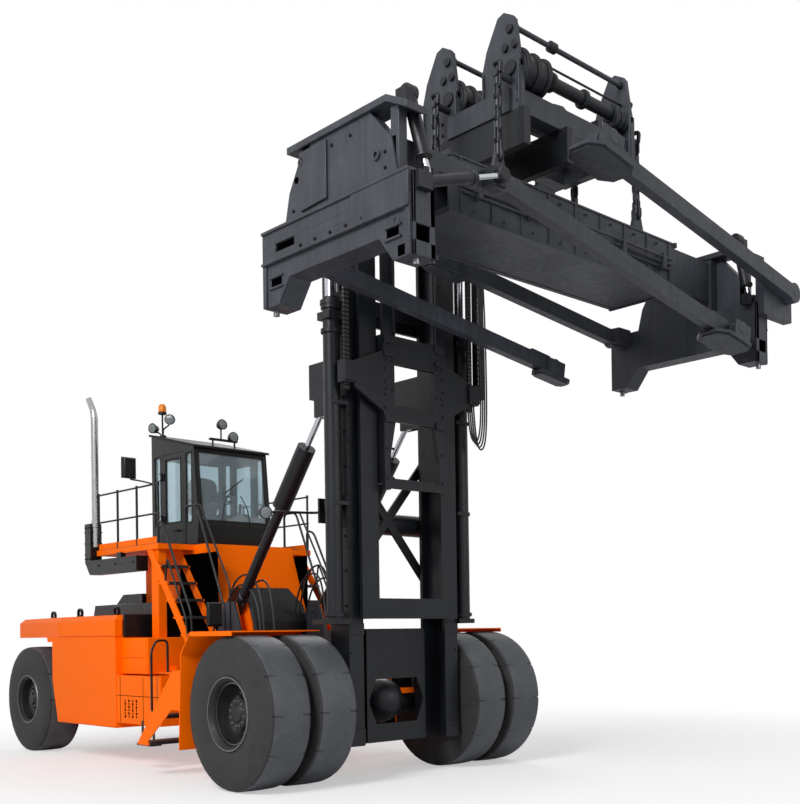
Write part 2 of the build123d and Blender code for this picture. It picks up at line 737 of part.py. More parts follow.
# Inner mast: two I sections with cross members, and heads that the lift rods push
def inner_mast():
    f = inner_flange
    section = [
        (inner_lip, inner_front), (inner_half, inner_front), (inner_half, inner_front + f),
        (inner_web[1], inner_front + f), (inner_web[1], inner_rear - f), (inner_half, inner_rear - f),
        (inner_half, inner_rear), (inner_lip, inner_rear), (inner_lip, inner_rear - f),
        (inner_web[0], inner_rear - f), (inner_web[0], inner_front + f), (inner_lip, inner_front + f)]
    upright = flat_plate(section, (inner_bottom, inner_top))
    head = block((inner_web[0], lift_x + 100), (lift_y - 100, lift_y + 100), lift_head_z)
    cheeks = []
    for x in (chain_x - chain_w / 2 - 40, chain_x + chain_w / 2 + 15):
        cheeks.append(block((x, x + 25), (sheave_y - 60, sheave_y + 60), (lift_head_z[1] - 5, sheave_z + 60)))
    wheel = rod((chain_x - chain_w / 2, sheave_y, sheave_z), (chain_x + chain_w / 2, sheave_y, sheave_z), sheave_r)
    axle = rod((chain_x - 75, sheave_y, sheave_z), (chain_x + 75, sheave_y, sheave_z), 40)
    half = fused(upright, head, *cheeks, wheel, axle)
    foot = block((-inner_half, inner_half), (inner_front, inner_front + f), (inner_bottom, inner_bottom + 250))
    cross = [block((-inner_web[0], inner_web[0]), (inner_rear - f, inner_rear), z)
             for z in ((5800, 6000), (inner_top - 300, inner_top))]
    return fused(half, mirrored(half), foot, *cross)


def lift_rod():
    return rod((lift_x, lift_y, lift_rod_low), (lift_x, lift_y, lift_head_z[0]), lift_rod_r)


def lift_chain():
    """One leaf chain, down both sides of its wheel."""
    x = (chain_x - chain_w / 2, chain_x + chain_w / 2)
    strands = []
    for s, low in zip((-1, 1), chain_low):
        y = sorted((sheave_y + s * sheave_r, sheave_y + s * (sheave_r + chain_t)))
        strands.append(block(x, y, (low, sheave_z)))
    over = Pos(chain_x, sheave_y, sheave_z) * Rot(0, 90, 0) * (
        Cylinder(sheave_r + chain_t, chain_w) - Cylinder(sheave_r + slip, chain_w + 2))
    over -= block((0, 2 * chain_x), (sheave_y - 400, sheave_y + 400), (sheave_z - 400, sheave_z))
    return fused(over, *strands)


save("inner_mast", inner_mast())
save("lift_rods", lift_rod(), mirrored(lift_rod()))
save("lift_chains", lift_chain(), mirrored(lift_chain()))


# Tilt cylinders: strut and barrel on the chassis, rod with an eye at the mast's pin
tilt_run = math.hypot(tilt_head[0] - tilt_foot[0], tilt_head[1] - tilt_foot[1])


def tilt_point(along):
    share = along / tilt_run
    y, z = [foot + (head - foot) * share for foot, head in zip(tilt_foot, tilt_head)]
    return (tilt_x, y, z)


def tilt_eye(place, bore):
    x = (tilt_x - tilt_eye_w / 2, tilt_x + tilt_eye_w / 2)
    eye = rod((x[0], *place), (x[1], *place), tilt_eye_r)
    return eye, rod((x[0] - 1, *place), (x[1] + 1, *place), bore)


def tilt_barrel():
    eye, bore = tilt_eye(tilt_foot, tilt_pin_bore)
    body = fused(eye, rod(tilt_point(60), tilt_point(tilt_barrel_from + 5), tilt_strut_r),
                 rod(tilt_point(tilt_barrel_from), tilt_point(tilt_barrel_to), tilt_barrel_r))
    body -= rod(tilt_point(tilt_barrel_from + 60), tilt_point(tilt_barrel_to + 5), tilt_rod_r + slip)
    body -= bore
    return body


def tilt_rod():
    eye, bore = tilt_eye(tilt_head, tilt_pin_bore + 20)
    return fused(eye, rod(tilt_point(tilt_rod_from), tilt_point(tilt_run - 62), tilt_rod_r)) - bore


for side, name in side_names.items():
    save(f"tilt_barrel_{name}", handed(tilt_barrel(), side))
    save(f"tilt_rod_{name}", handed(tilt_rod(), side))


# Carriage: a pierced plate with legs, side plates with rollers, chain ears, and two arms
# that reach forward over the spreader
def carriage():
    plate_y = (carriage_front, carriage_front + carriage_plate)
    front = block((-carriage_half, carriage_half), plate_y, (4400, carriage_top))
    for z in ((4600, 5100), (5450, 6900)):
        front -= block((-320, 320), (plate_y[0] - 1, plate_y[1] + 1), z)
    tie = block((-carriage_half, carriage_half), plate_y, (carriage_low + 20, carriage_low + 140))
    channel = (inner_front + inner_flange, inner_rear - inner_flange)
    roller_y = sum(channel) / 2
    roller_r = (channel[1] - channel[0]) / 2 - slip
    pieces = [front, tie]
    for s in (-1, 1):
        leg = [(s * carriage_half, 4450), (s * arm_x[0], 4450), (s * arm_x[1], 3950), (s * arm_x[1], carriage_low),
               (s * carriage_half, carriage_low)]
        pieces.append(front_plate(leg, plate_y))
        cheek_x = sorted((s * (carriage_half - 50), s * carriage_half))
        pieces.append(block(cheek_x, (plate_y[0] + 10, roller_y + 90), (roller_low - 150, roller_high + 150)))
        for z in (roller_low, roller_high):
            pieces.append(rod((s * (carriage_half - 5), roller_y, z), (s * (inner_web[0] - 5), roller_y, z), roller_r))
        ear = [(s * (carriage_half - 5), 4500), (s * (chain_x - 60), 4750), (s * (chain_x - 60), 5050),
               (s * (carriage_half - 5), 5250)]
        pieces.append(front_plate(ear, plate_y))
        pieces.append(block(sorted((s * (chain_x - 90), s * (chain_x + 90))), (plate_y[0] - 20, -740), (4780, 5040)))
    body = fused(*pieces)
    for s in (-1, 1):
        x = sorted((s * (chain_x - chain_w / 2 - 8), s * (chain_x + chain_w / 2 + 8)))
        body -= block(x, (sheave_y - sheave_r - chain_t - 8, -700), (4700, 5100))
    return body


save("carriage", carriage())
arm = block(arm_x, (spread_y - 700, carriage_front), hang_z)
save("carriage_arms", arm, mirrored(arm))


# Hanger: two cross beams on the arms, an ear at each corner, tie bars and the four chains
def hanger():
    pieces = []
    z = (hang_z[1] + slip, hang_z[1] + hang_beam)
    for s in (-1, 1):
        x = shift_x + s * hang_half
        pieces.append(block((x - 60, x + 60), (spread_y - hang_dy, spread_y + hang_dy), z))
        for dy in (-1, 1):
            y = spread_y + dy * hang_dy
            ear = [(y - 150, z[0]), (y + 150, z[0]), (y + 150, ear_low + 60), (y + 60, ear_top), (y - 60, ear_top - 30),
                   (y - 150, ear_low + 60)]
            pieces.append(side_plate(ear, (x - ear_t / 2, x + ear_t / 2)))
            hook_x = x + s * hook_dx
            pieces.append(rod((hook_x, y, beam_z[1] + 200), (hook_x, y, ear_low + 30), 26))
            pieces.append(rod((x, y, ear_low), (hook_x + s * 40, y, ear_low), 40))
    for dy in (-1, 1):
        y = spread_y + dy * hang_dy
        pieces.append(block((shift_x - hang_half, shift_x + hang_half), (y - 90, y + 90), z))
        pieces.append(rod((shift_x - hang_half, y, ear_top - 90), (shift_x + hang_half, y, ear_top - 90), 30))
    return fused(*pieces)


save("hanger_frame", hanger())


# Spreader: a main beam with two side by side tunnels for the telescopic beams, and chain lugs
def spreader_beam():
    body = block((shift_x - beam_half_l, shift_x + beam_half_l), (spread_y - beam_half_w, spread_y + beam_half_w), beam_z)
    z = (beam_z[0] + beam_wall, beam_z[1] - beam_wall)
    for s in (-1, 1):
        y = sorted((spread_y + s * beam_wall / 2, spread_y + s * (beam_half_w - beam_wall)))
        body -= block((shift_x - beam_half_l - 5, shift_x + beam_half_l + 5), y, z)
    for s in (-1, 1):
        for dy in (-1, 1):
            x = shift_x + s * (hang_half + hook_dx)
            y = spread_y + dy * hang_dy
            lug = [(x - 110, beam_z[1] - 5), (x + 110, beam_z[1] - 5), (x + 50, beam_z[1] + 200), (x - 50, beam_z[1] + 200)]
            body = fused(body, front_plate(lug, (y - 25, y + 25)))
    return body


def telescopic(side):
    """One hollow beam in its own tunnel, with the end frame that carries two corner locks."""
    low = beam_wall / 2 + tele_gap
    high = beam_half_w - beam_wall - tele_gap
    y = sorted((spread_y - side * low, spread_y - side * high))
    z = (beam_z[0] + beam_wall + tele_gap, beam_z[1] - beam_wall - tele_gap)
    face = sorted((shift_x + side * (end_x - end_depth), shift_x + side * end_x))
    tail = shift_x - side * (beam_half_l - 200)
    root = shift_x + side * (end_x - end_depth + 5)
    beam = block(sorted((tail, root)), y, z)
    w = beam_wall
    beam -= block(sorted((tail - side, root - side * w)), (y[0] + w, y[1] - w), (z[0] + w, z[1] - w))
    reach = tele_gap - slip
    pad_x = sorted((tail, tail + side * pad_length))
    middle_y, middle_z = sum(y) / 2, sum(z) / 2
    pads = [block(pad_x, (middle_y - 150, middle_y + 150), (z[0] - reach, z[0] + 5)),
            block(pad_x, (middle_y - 150, middle_y + 150), (z[1] - 5, z[1] + reach)),
            block(pad_x, (y[0] - reach, y[0] + 5), (middle_z - 150, middle_z + 150)),
            block(pad_x, (y[1] - 5, y[1] + reach), (middle_z - 150, middle_z + 150))]
    half = end_half_w
    foot = 260
    points = [(spread_y - half, end_z[0]), (spread_y - half + foot, end_z[0]), (spread_y - half + foot + 200, end_z[0] + 250),
              (spread_y + half - foot - 200, end_z[0] + 250), (spread_y + half - foot, end_z[0]), (spread_y + half, end_z[0]),
              (spread_y + half, end_z[1]), (spread_y - half, end_z[1])]
    frame = side_plate(points, face)
    tower = side_plate([(spread_y - 1000, end_z[1] - 5), (spread_y + 820, end_z[1] - 5), (spread_y + 730, 6350),
                        (spread_y + 450, 6790), (spread_y - 600, 6740), (spread_y - 920, 6400)],
                       sorted((shift_x + side * end_x, shift_x + side * (end_x - tower_t))))
    back = block(face, (spread_y - beam_half_w, spread_y + beam_half_w), (end_z[1] - 5, beam_z[1]))
    pieces = [beam, *pads, frame, tower, back]
    for row in ("front", "rear"):
        place = leg_places[f"{row}_{side_names[side]}"]
        carrier_x, carrier_y, carrier_z = place[6:]
        pieces.append(block(carrier_x, carrier_y, carrier_z))
        inner_y = carrier_y[1] if place[1] > carrier_y[1] else carrier_y[0]
        way = 1 if place[1] > carrier_y[1] else -1
        far_y = place[1] + way * (leg_w / 2 + 5)
        pieces.append(rod((place[0], inner_y - way * 50, place[2]), (place[0], far_y, place[2]), leg_pin_r))
    return fused(*pieces)


# Lift legs, folded along the beam, each in a lane of its own
# columns: pivot x, lane y, pivot z, direction along x, rise in degrees, length,
# and the x, y and z spans of its carrier on the end frame
leg_places = {
    "front_left": (3950, -3858, 6200, -1, 10.5, 4100, (3400, 4080), (-3785, -3660), (5850, 6320)),
    "front_right": (-1150, -3508, 6330, 1, -10.5, 4300, (-2400, -1030), (-3435, -3330), (6240, 6420)),
    "rear_left": (3200, -1430, 5950, -1, 6.5, 3300, (3100, 3365), (-1640, -1500), (5850, 6050)),
    "rear_right": (-2000, -1210, 5980, 1, -8, 4300, (-2165, -1880), (-1420, -1283), (5850, 6050)),
}


def leg(place):
    x, y, z, way, rise, length = place[:6]
    arm = Pos(way * length / 2, 0, 0) * Box(length, leg_w, leg_h)
    shoe = Pos(way * (length - 100), 0, -leg_h / 2 - 25) * Box(560, leg_w + 60, 60)
    hub = Rot(90, 0, 0) * Cylinder(leg_hub_r, leg_w)
    bore = Rot(90, 0, 0) * Cylinder(leg_pin_r + slip, leg_w + 2)
    return Pos(x, y, z) * Rot(0, -way * rise, 0) * (fused(arm, shoe, hub) - bore)


save("spreader_beam", spreader_beam())
for side, name in side_names.items():
    save(f"telescopic_{name}", telescopic(side))
    locks = [rod((shift_x + side * corner_dx, spread_y + dy * corner_dy, lock_z),
                 (shift_x + side * corner_dx, spread_y + dy * corner_dy, end_z[0]), lock_r) for dy in (-1, 1)]
    save(f"twistlocks_{name}", *locks)
for name, place in leg_places.items():
    save(f"leg_{name}", leg(place))

# The whole is moved so that the origin is on the ground under its middle, and written
boxes = [solid.bounding_box() for solids in nodes.values() for solid in solids]
middle_x = (min(b.min.X for b in boxes) + max(b.max.X for b in boxes)) / 2
middle_y = (min(b.min.Y for b in boxes) + max(b.max.Y for b in boxes)) / 2
middle_x, middle_y = round(middle_x, 3), round(middle_y, 3)
print("middle of the whole", middle_x, middle_y)
for name, solids in nodes.items():
    placed = [solid.moved(Location((-middle_x, -middle_y, 0))) for solid in solids]
    export_step(placed[0] if len(placed) == 1 else Compound(children=placed), f"parts/{name}.step")
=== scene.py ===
import math

import bpy
import numpy as np
from mathutils import Matrix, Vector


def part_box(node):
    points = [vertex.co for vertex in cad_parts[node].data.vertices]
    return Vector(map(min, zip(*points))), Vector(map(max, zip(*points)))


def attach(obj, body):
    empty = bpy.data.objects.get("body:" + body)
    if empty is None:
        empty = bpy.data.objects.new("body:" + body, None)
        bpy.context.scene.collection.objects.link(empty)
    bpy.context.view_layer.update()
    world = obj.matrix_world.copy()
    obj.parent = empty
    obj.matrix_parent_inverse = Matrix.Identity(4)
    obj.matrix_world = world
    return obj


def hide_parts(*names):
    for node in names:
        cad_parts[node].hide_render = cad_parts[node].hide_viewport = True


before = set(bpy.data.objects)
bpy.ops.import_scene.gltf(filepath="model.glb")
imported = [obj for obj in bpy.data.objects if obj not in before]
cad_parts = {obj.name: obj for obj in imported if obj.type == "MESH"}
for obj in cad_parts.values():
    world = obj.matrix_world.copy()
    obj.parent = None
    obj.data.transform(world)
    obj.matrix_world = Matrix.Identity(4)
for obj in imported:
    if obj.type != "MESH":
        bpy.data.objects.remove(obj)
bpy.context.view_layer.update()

# The truck's own zero: on the ground under the middle of the drive axle, found from the
# twin tyres. Everything below is written from there, +X to the truck's left, -Y ahead.
tyres_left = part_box("drive_tyres_left")
tyres_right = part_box("drive_tyres_right")
zero = np.array([(tyres_left[1][0] + tyres_right[0][0]) / 2, (tyres_left[0][1] + tyres_left[1][1]) / 2, 0.0])

# Camera: stands ahead of the truck's right front wheel at the height of a person's eyes,
# with the view raised by the shift, so that upright edges stay upright.
yaw, pitch, roll = math.radians(46.19), math.radians(0.32), math.radians(-0.85)
ahead = np.array([math.sin(yaw) * math.cos(pitch), math.cos(yaw) * math.cos(pitch), math.sin(pitch)])
level = np.array([math.cos(yaw), -math.sin(yaw), 0.0])
upright = np.cross(level, ahead)
to_right = math.cos(roll) * level + math.sin(roll) * upright
to_top = math.cos(roll) * upright - math.sin(roll) * level
eye = np.array([-8.908, -11.207, 1.818]) + zero
camera = bpy.data.objects.new("camera", bpy.data.cameras.new("camera"))
basis = Matrix([list(row) for row in np.column_stack([to_right, to_top, -ahead])]).to_4x4()
camera.matrix_world = Matrix.Translation(eye.tolist()) @ basis
camera.data.sensor_fit = "VERTICAL"
camera.data.sensor_height = 36.0
camera.data.lens = 48.95
camera.data.shift_x = -0.1525
camera.data.shift_y = 0.2769
camera.data.clip_end = 200.0
bpy.context.scene.collection.objects.link(camera)
bpy.context.scene.camera = camera
bpy.context.scene.view_settings.view_transform = "Standard"


# Materials: hex colours are turned to linear, one function adds a node with its settings
# and links, and short ones add the nodes that every finish needs.
def linear(colour):
    """Linear colour of an sRGB hex value, by the standard's own curve."""
    parts = [int(colour[i:i + 2], 16) / 255 for i in (1, 3, 5)]
    return [c / 12.92 if c <= 0.04045 else ((c + 0.055) / 1.055) ** 2.4 for c in parts] + [1.0]


def add_node(tree, kind, inputs=None, **settings):
    """One node: settings are its own fields, inputs are values or the outputs that feed its sockets."""
    made = tree.nodes.new(kind)
    for name, value in settings.items():
        setattr(made, name, value)
    for name, value in (inputs or {}).items():
        if isinstance(value, bpy.types.NodeSocket):
            tree.links.new(value, made.inputs[name])
        else:
            made.inputs[name].default_value = value
    return made


def new_material(name):
    """An empty material and its node tree."""
    material = bpy.data.materials.new(name)
    material.use_nodes = True
    material.node_tree.nodes.clear()
    return material, material.node_tree


def place_in(tree):
    """Object coordinates, in metres on the part itself."""
    return add_node(tree, "ShaderNodeTexCoord").outputs["Object"]


def two_tones(tree, share, low, high):
    """A colour between two hex tones, by a share from 0 to 1."""
    mixed = add_node(tree, "ShaderNodeMix", {"Factor": share, "A": linear(low), "B": linear(high)},
                     data_type="RGBA")
    return mixed.outputs["Result"]


def noise(tree, place, scale, detail, roughness=0.5):
    """Noise from 0 to 1 at a place, by its scale, detail and roughness."""
    return add_node(tree, "ShaderNodeTexNoise", {"Vector": place, "Scale": scale, "Detail": detail,
                                                 "Roughness": roughness}).outputs["Fac"]


def ranged(tree, value, low, high, to_low=0.0, to_high=1.0):
    """A value between low and high, stretched to another range."""
    return add_node(tree, "ShaderNodeMapRange", {"Value": value, "From Min": low, "From Max": high,
                                                 "To Min": to_low, "To Max": to_high}).outputs[0]


def combined(tree, first, second, operation="MULTIPLY"):
    """One value from two, by a product or another operation."""
    return add_node(tree, "ShaderNodeMath", {0: first, 1: second}, operation=operation).outputs[0]


def relief(tree, height, strength, depth):
    """A normal that follows a height, to a depth in metres."""
    return add_node(tree, "ShaderNodeBump",
                    {"Height": height, "Strength": strength, "Distance": depth}).outputs[0]


def surfaced(tree, inputs):
    """The material's principled surface, joined to its output."""
    surface = add_node(tree, "ShaderNodeBsdfPrincipled", inputs)
    add_node(tree, "ShaderNodeOutputMaterial", {"Surface": surface.outputs[0]})


# Studio: a pale floor that keeps the truck's shadow, and a plain white surround for the
# camera and for reflections, with soft light from the world and three large lamps.
world = bpy.data.worlds.new("studio")
bpy.context.scene.world = world
world.use_nodes = True
sky = world.node_tree
sky.nodes.clear()
seen = add_node(sky, "ShaderNodeLightPath")
either = combined(sky, seen.outputs["Is Camera Ray"], seen.outputs["Is Glossy Ray"], "MAXIMUM")
either = combined(sky, either, seen.outputs["Is Transmission Ray"], "MAXIMUM")
plain = add_node(sky, "ShaderNodeBackground", {"Color": [1.0, 1.0, 1.0, 1.0], "Strength": 1.0})
soft = add_node(sky, "ShaderNodeBackground", {"Color": linear("#F4F7FB"), "Strength": 0.34})
both = add_node(sky, "ShaderNodeMixShader", {0: either, 1: soft.outputs[0], 2: plain.outputs[0]})
add_node(sky, "ShaderNodeOutputWorld", {"Surface": both.outputs[0]})

floor_material, tree = new_material("studio_floor")
pale = add_node(tree, "ShaderNodeBsdfPrincipled", {"Base Color": linear("#F7F7F7"), "Roughness": 0.9})
white = add_node(tree, "ShaderNodeEmission", {"Color": [1.0, 1.0, 1.0, 1.0], "Strength": 1.0})
away = add_node(tree, "ShaderNodeVectorMath", {0: place_in(tree)}, operation="LENGTH")
fade = ranged(tree, away.outputs["Value"], 4.0, 11.0, 0.45, 1.0)
by_camera = add_node(tree, "ShaderNodeLightPath").outputs["Is Camera Ray"]
share = combined(tree, fade, by_camera)
ground = add_node(tree, "ShaderNodeMixShader", {0: share, 1: pale.outputs[0], 2: white.outputs[0]})
add_node(tree, "ShaderNodeOutputMaterial", {"Surface": ground.outputs[0]})
floor_mesh = bpy.data.meshes.new("studio_floor")
reach = 60.0
floor_mesh.from_pydata([(-reach, -reach, -0.002), (reach, -reach, -0.002), (reach, reach, -0.002),
                        (-reach, reach, -0.002)], [], [(0, 1, 2, 3)])
floor_mesh.materials.append(floor_material)
floor = bpy.data.objects.new("studio_floor", floor_mesh)
bpy.context.scene.collection.objects.link(floor)


def lamp(name, place, target, size, power):
    """A square soft lamp that looks from its place at a target, both from the truck's zero."""
    data = bpy.data.lights.new(name, "AREA")
    data.shape = "SQUARE"
    data.size = size
    data.energy = power
    made = bpy.data.objects.new(name, data)
    place, target = np.array(place) + zero, np.array(target) + zero
    away = (place - target) / np.linalg.norm(place - target)
    side = np.cross([0.0, 0.0, 1.0], away)
    side /= np.linalg.norm(side)
    matrix = Matrix([list(row) for row in np.column_stack([side, np.cross(away, side), away])]).to_4x4()
    made.matrix_world = Matrix.Translation(place.tolist()) @ matrix
    bpy.context.scene.collection.objects.link(made)


lamp("key_lamp", (-16.0, -6.0, 15.0), (0.0, 2.0, 3.0), 7.0, 3400)
lamp("front_lamp", (3.0, -20.0, 9.0), (0.0, 0.0, 3.0), 9.0, 700)
lamp("back_lamp", (12.0, 16.0, 14.0), (0.0, 2.0, 3.0), 8.0, 1100)


# Painted steel: sprayed two-pack enamel on welded plate. It is smooth, with a slight
# orange peel, a little dust that gathers in broad patches, and streaks where rain ran down.
# On the black and charcoal paints the lighter bluish tone of these patches is partly dust
# and partly a painted sheen.
def enamel(name, colour, dust_and_sheen, rough, dust_share, gloss=0.3):
    """Enamel in one colour with a second tone in patches and streaks, from its roughness, that tone's share
    and its gloss: the second tone is dust, and on the black and charcoal paints partly a painted bluish
    sheen.
    """
    material, tree = new_material(name)
    place = place_in(tree)
    patches = noise(tree, place, 1.7, 6.0, 0.62)
    long_way = add_node(tree, "ShaderNodeMapping", {"Vector": place, "Scale": (9.0, 9.0, 0.7)})
    streaks = noise(tree, long_way.outputs[0], 1.6, 5.0, 0.7)
    spread = ranged(tree, combined(tree, patches, streaks), 0.18, 0.46, 0.0, dust_share)
    tint = two_tones(tree, spread, colour, dust_and_sheen)
    dull = ranged(tree, noise(tree, place, 14.0, 4.0), 0.3, 0.7, rough - 0.06, rough + 0.08)
    peel = relief(tree, noise(tree, place, 90.0, 2.0), 0.05, 0.002)
    surfaced(tree, {"Base Color": tint, "Roughness": dull, "Normal": peel, "Specular IOR Level": gloss})
    return material


orange_enamel = enamel("orange_enamel", "#FF6C00", "#F57412", 0.45, 0.25, 0.06)
# The black and charcoal paints' second tones are lighter and bluish: dust, and partly a painted sheen.
black_enamel = enamel("black_enamel", "#0D0F13", "#1D2026", 0.42, 0.5)
charcoal_enamel = enamel("charcoal_enamel", "#2B2D33", "#474A53", 0.44, 0.6)
cab_black = enamel("cab_black", "#0A0B0D", "#1A1B1E", 0.36, 0.4)
rim_black = enamel("rim_black", "#141416", "#34322E", 0.5, 0.6)
# A flat near-black with no gloss. It is painted shade, laid in holes, slots and openings where there is only
# shade, and it is also the colour of the dark seams in the side panels.
shade_and_seam_black = enamel("shade_and_seam_black", "#020202", "#040404", 0.9, 0.3, 0.0)

finish_of = {orange_enamel: ["chassis_frame", "landing", "side_box_left", "side_box_right", "counterweight",
                             "cab_base", "fender_left", "fender_right", "lower_steps_left",
                             "lower_steps_right", "stairs_left", "stairs_right", "platform"],
             cab_black: ["hood_cowl", "hood_lid", "handrails", "front_cover", "cab_shell", "cab_door_left",
                         "cab_door_right", "steering_column", "engine_block"],
             black_enamel: ["drive_axle", "steer_axle", "knuckle_left", "knuckle_right", "outer_mast",
                            "mast_brace", "mast_brackets", "inner_mast", "tilt_barrel_left",
                            "tilt_barrel_right", "lift_barrels", "carriage", "carriage_arms"],
             charcoal_enamel: ["hanger_frame", "spreader_beam", "telescopic_left", "telescopic_right",
                               "leg_front_left", "leg_front_right", "leg_rear_left", "leg_rear_right"],
             rim_black: ["drive_rims_left", "drive_rims_right", "steer_rim_left", "steer_rim_right"]}


def coat(node, material):
    """Puts one material on every slot of a CAD node."""
    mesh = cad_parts[node].data
    mesh.materials.clear()
    mesh.materials.append(material)


for finish, nodes in finish_of.items():
    for name in nodes:
        coat(name, finish)


# Bare and plated steel: chromed cylinder rods, oiled leaf chains, ground corner locks and
# the polished exhaust, each a metal with fine marks along or round it.
def bright_metal(name, colour, rough, marks, mark_scale):
    """Metal in one colour with marks in another, drawn out by the scale of x, y and z."""
    material, tree = new_material(name)
    along = add_node(tree, "ShaderNodeMapping", {"Vector": place_in(tree), "Scale": mark_scale})
    grain = noise(tree, along.outputs[0], 6.0, 5.0)
    tint = two_tones(tree, grain, colour, marks)
    dull = ranged(tree, grain, 0.3, 0.7, rough * 0.8, rough * 1.3)
    surfaced(tree, {"Base Color": tint, "Metallic": 1.0, "Roughness": dull})
    return material


chrome_rod = bright_metal("chrome_rod", "#C9CBCF", 0.16, "#B4B6BB", (30.0, 30.0, 2.0))
oiled_steel = bright_metal("oiled_steel", "#3A3A3B", 0.42, "#242424", (20.0, 20.0, 20.0))
ground_steel = bright_metal("ground_steel", "#8E8F92", 0.35, "#6C6B68", (30.0, 30.0, 30.0))
polished_pipe = bright_metal("polished_pipe", "#BFC0C2", 0.22, "#8F8B85", (8.0, 8.0, 1.5))
for node, material in (("lift_rods", chrome_rod), ("tilt_rod_left", chrome_rod),
                       ("tilt_rod_right", chrome_rod), ("lift_chains", oiled_steel),
                       ("twistlocks_left", ground_steel), ("twistlocks_right", ground_steel)):
    coat(node, material)


# Surfaces as arrays: a piece is a list of (points, faces), merged, moved to the truck's
# zero and given to a body.
def merged(parts):
    """All the points in one array, and each face's numbers raised by the points before it."""
    points, faces, count = [], [], 0
    for part_points, part_faces in parts:
        points.append(np.asarray(part_points, float))
        faces.extend((np.asarray(face) + count).tolist() for face in part_faces)
        count += len(part_points)
    return np.vstack(points), faces


def piece(name, parts, material, body, smooth=30.0, bevel=0.0):
    """Makes one object of all the parts, shaded smooth where faces meet at less than an angle."""
    points, faces = merged(parts)
    mesh = bpy.data.meshes.new(name)
    mesh.from_pydata((points + zero).tolist(), [], faces)
    mesh.polygons.foreach_set("use_smooth", np.ones(len(faces), bool))
    mesh.set_sharp_from_angle(angle=math.radians(smooth))
    mesh.materials.append(material)
    made = bpy.data.objects.new(name, mesh)
    bpy.context.scene.collection.objects.link(made)
    if bevel:
        rounded = made.modifiers.new("rounded_edges", "BEVEL")
        rounded.width = bevel
        rounded.segments = 2
        rounded.limit_method = "ANGLE"
        rounded.angle_limit = math.radians(35.0)
    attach(made, body)
    return made


def grid_faces(rows, columns, closed_rows=False):
    """Four-sided faces of a grid of points, joined round its columns, and round its rows if closed."""
    row = np.arange(rows if closed_rows else rows - 1)[:, None]
    column = np.arange(columns)[None, :]
    after = (row + 1) % rows
    beside = (column + 1) % columns
    return np.stack([row * columns + column + 0 * beside, row * columns + beside, after * columns + beside,
                     after * columns + column], axis=-1).reshape(-1, 4)


def turned(profile, centre, axis=0, sides=48, closed=False):
    """A profile of (distance along the axis, radius) turned about the axis through the centre: the point is
    the centre plus the distance along the axis and the radius times cosine and sine of the turn across it."""
    profile = np.asarray(profile, float)
    step, height = np.roll(profile, -1, axis=0) - profile, np.roll(profile, -1, axis=0) + profile
    if np.sum(step[:len(profile) if closed else -1, 0] * height[:len(profile) if closed else -1, 1]) < 0:
        profile = profile[::-1]
    turn = np.linspace(0.0, 2 * math.pi, sides, endpoint=False)
    first, second = [(1, 2), (2, 0), (0, 1)][axis]
    points = np.zeros((len(profile), sides, 3))
    points[..., axis] = profile[:, :1]
    points[..., first] = profile[:, 1:] * np.cos(turn)
    points[..., second] = profile[:, 1:] * np.sin(turn)
    faces = list(grid_faces(len(profile), sides, closed))
    if closed:
        return points.reshape(-1, 3) + centre, faces
    ends = [np.arange(sides)[::-1], (len(profile) - 1) * sides + np.arange(sides)]
    return points.reshape(-1, 3) + centre, faces + ends


def slab(x, y, z):
    """A box from its low and high x, y and z: eight corners, and six faces that look outwards."""
    points = np.array([(a, b, c) for a in sorted(x) for b in sorted(y) for c in sorted(z)], float)
    return points, [(0, 1, 3, 2), (4, 6, 7, 5), (0, 4, 5, 1), (2, 3, 7, 6), (0, 2, 6, 4), (1, 5, 7, 3)]


def prism(outline, span, axis=0):
    """An outline in the two axes after the given one, carried from one value of that axis to another."""
    outline = np.asarray(outline, float)
    a, b = outline.T
    if np.sum(a * np.roll(b, -1) - b * np.roll(a, -1)) < 0:
        outline = outline[::-1]
    count = len(outline)
    points = np.zeros((2, count, 3))
    points[..., (axis + 1) % 3] = outline[:, 0]
    points[..., (axis + 2) % 3] = outline[:, 1]
    points[..., axis] = np.sort(np.asarray(span, float))[:, None]
    ends = [np.arange(count)[::-1], count + np.arange(count)]
    return points.reshape(-1, 3), list(grid_faces(2, count)) + ends


def aimed(part, direction, place):
    """A part made along +Z, turned to look along a direction and moved to a place."""
    points, faces = part
    ahead = np.asarray(direction, float) / np.linalg.norm(direction)
    side = np.cross([0.0, 0.0, 1.0], ahead) if abs(ahead[2]) < 0.99 else np.array([1.0, 0.0, 0.0])
    side /= np.linalg.norm(side)
    return points @ np.column_stack([side, np.cross(ahead, side), ahead]).T + np.asarray(place, float), faces


def bar(start, end, radius, sides=20):
    """A round bar between two points, with its ends broken by a small cone."""
    run = np.asarray(end, float) - np.asarray(start, float)
    length = np.linalg.norm(run)
    edge = radius * 0.12
    shape = turned([(0.0, radius - edge), (edge, radius), (length - edge, radius), (length, radius - edge)],
                   (0.0, 0.0, 0.0), 2, sides)
    return aimed(shape, run, start)


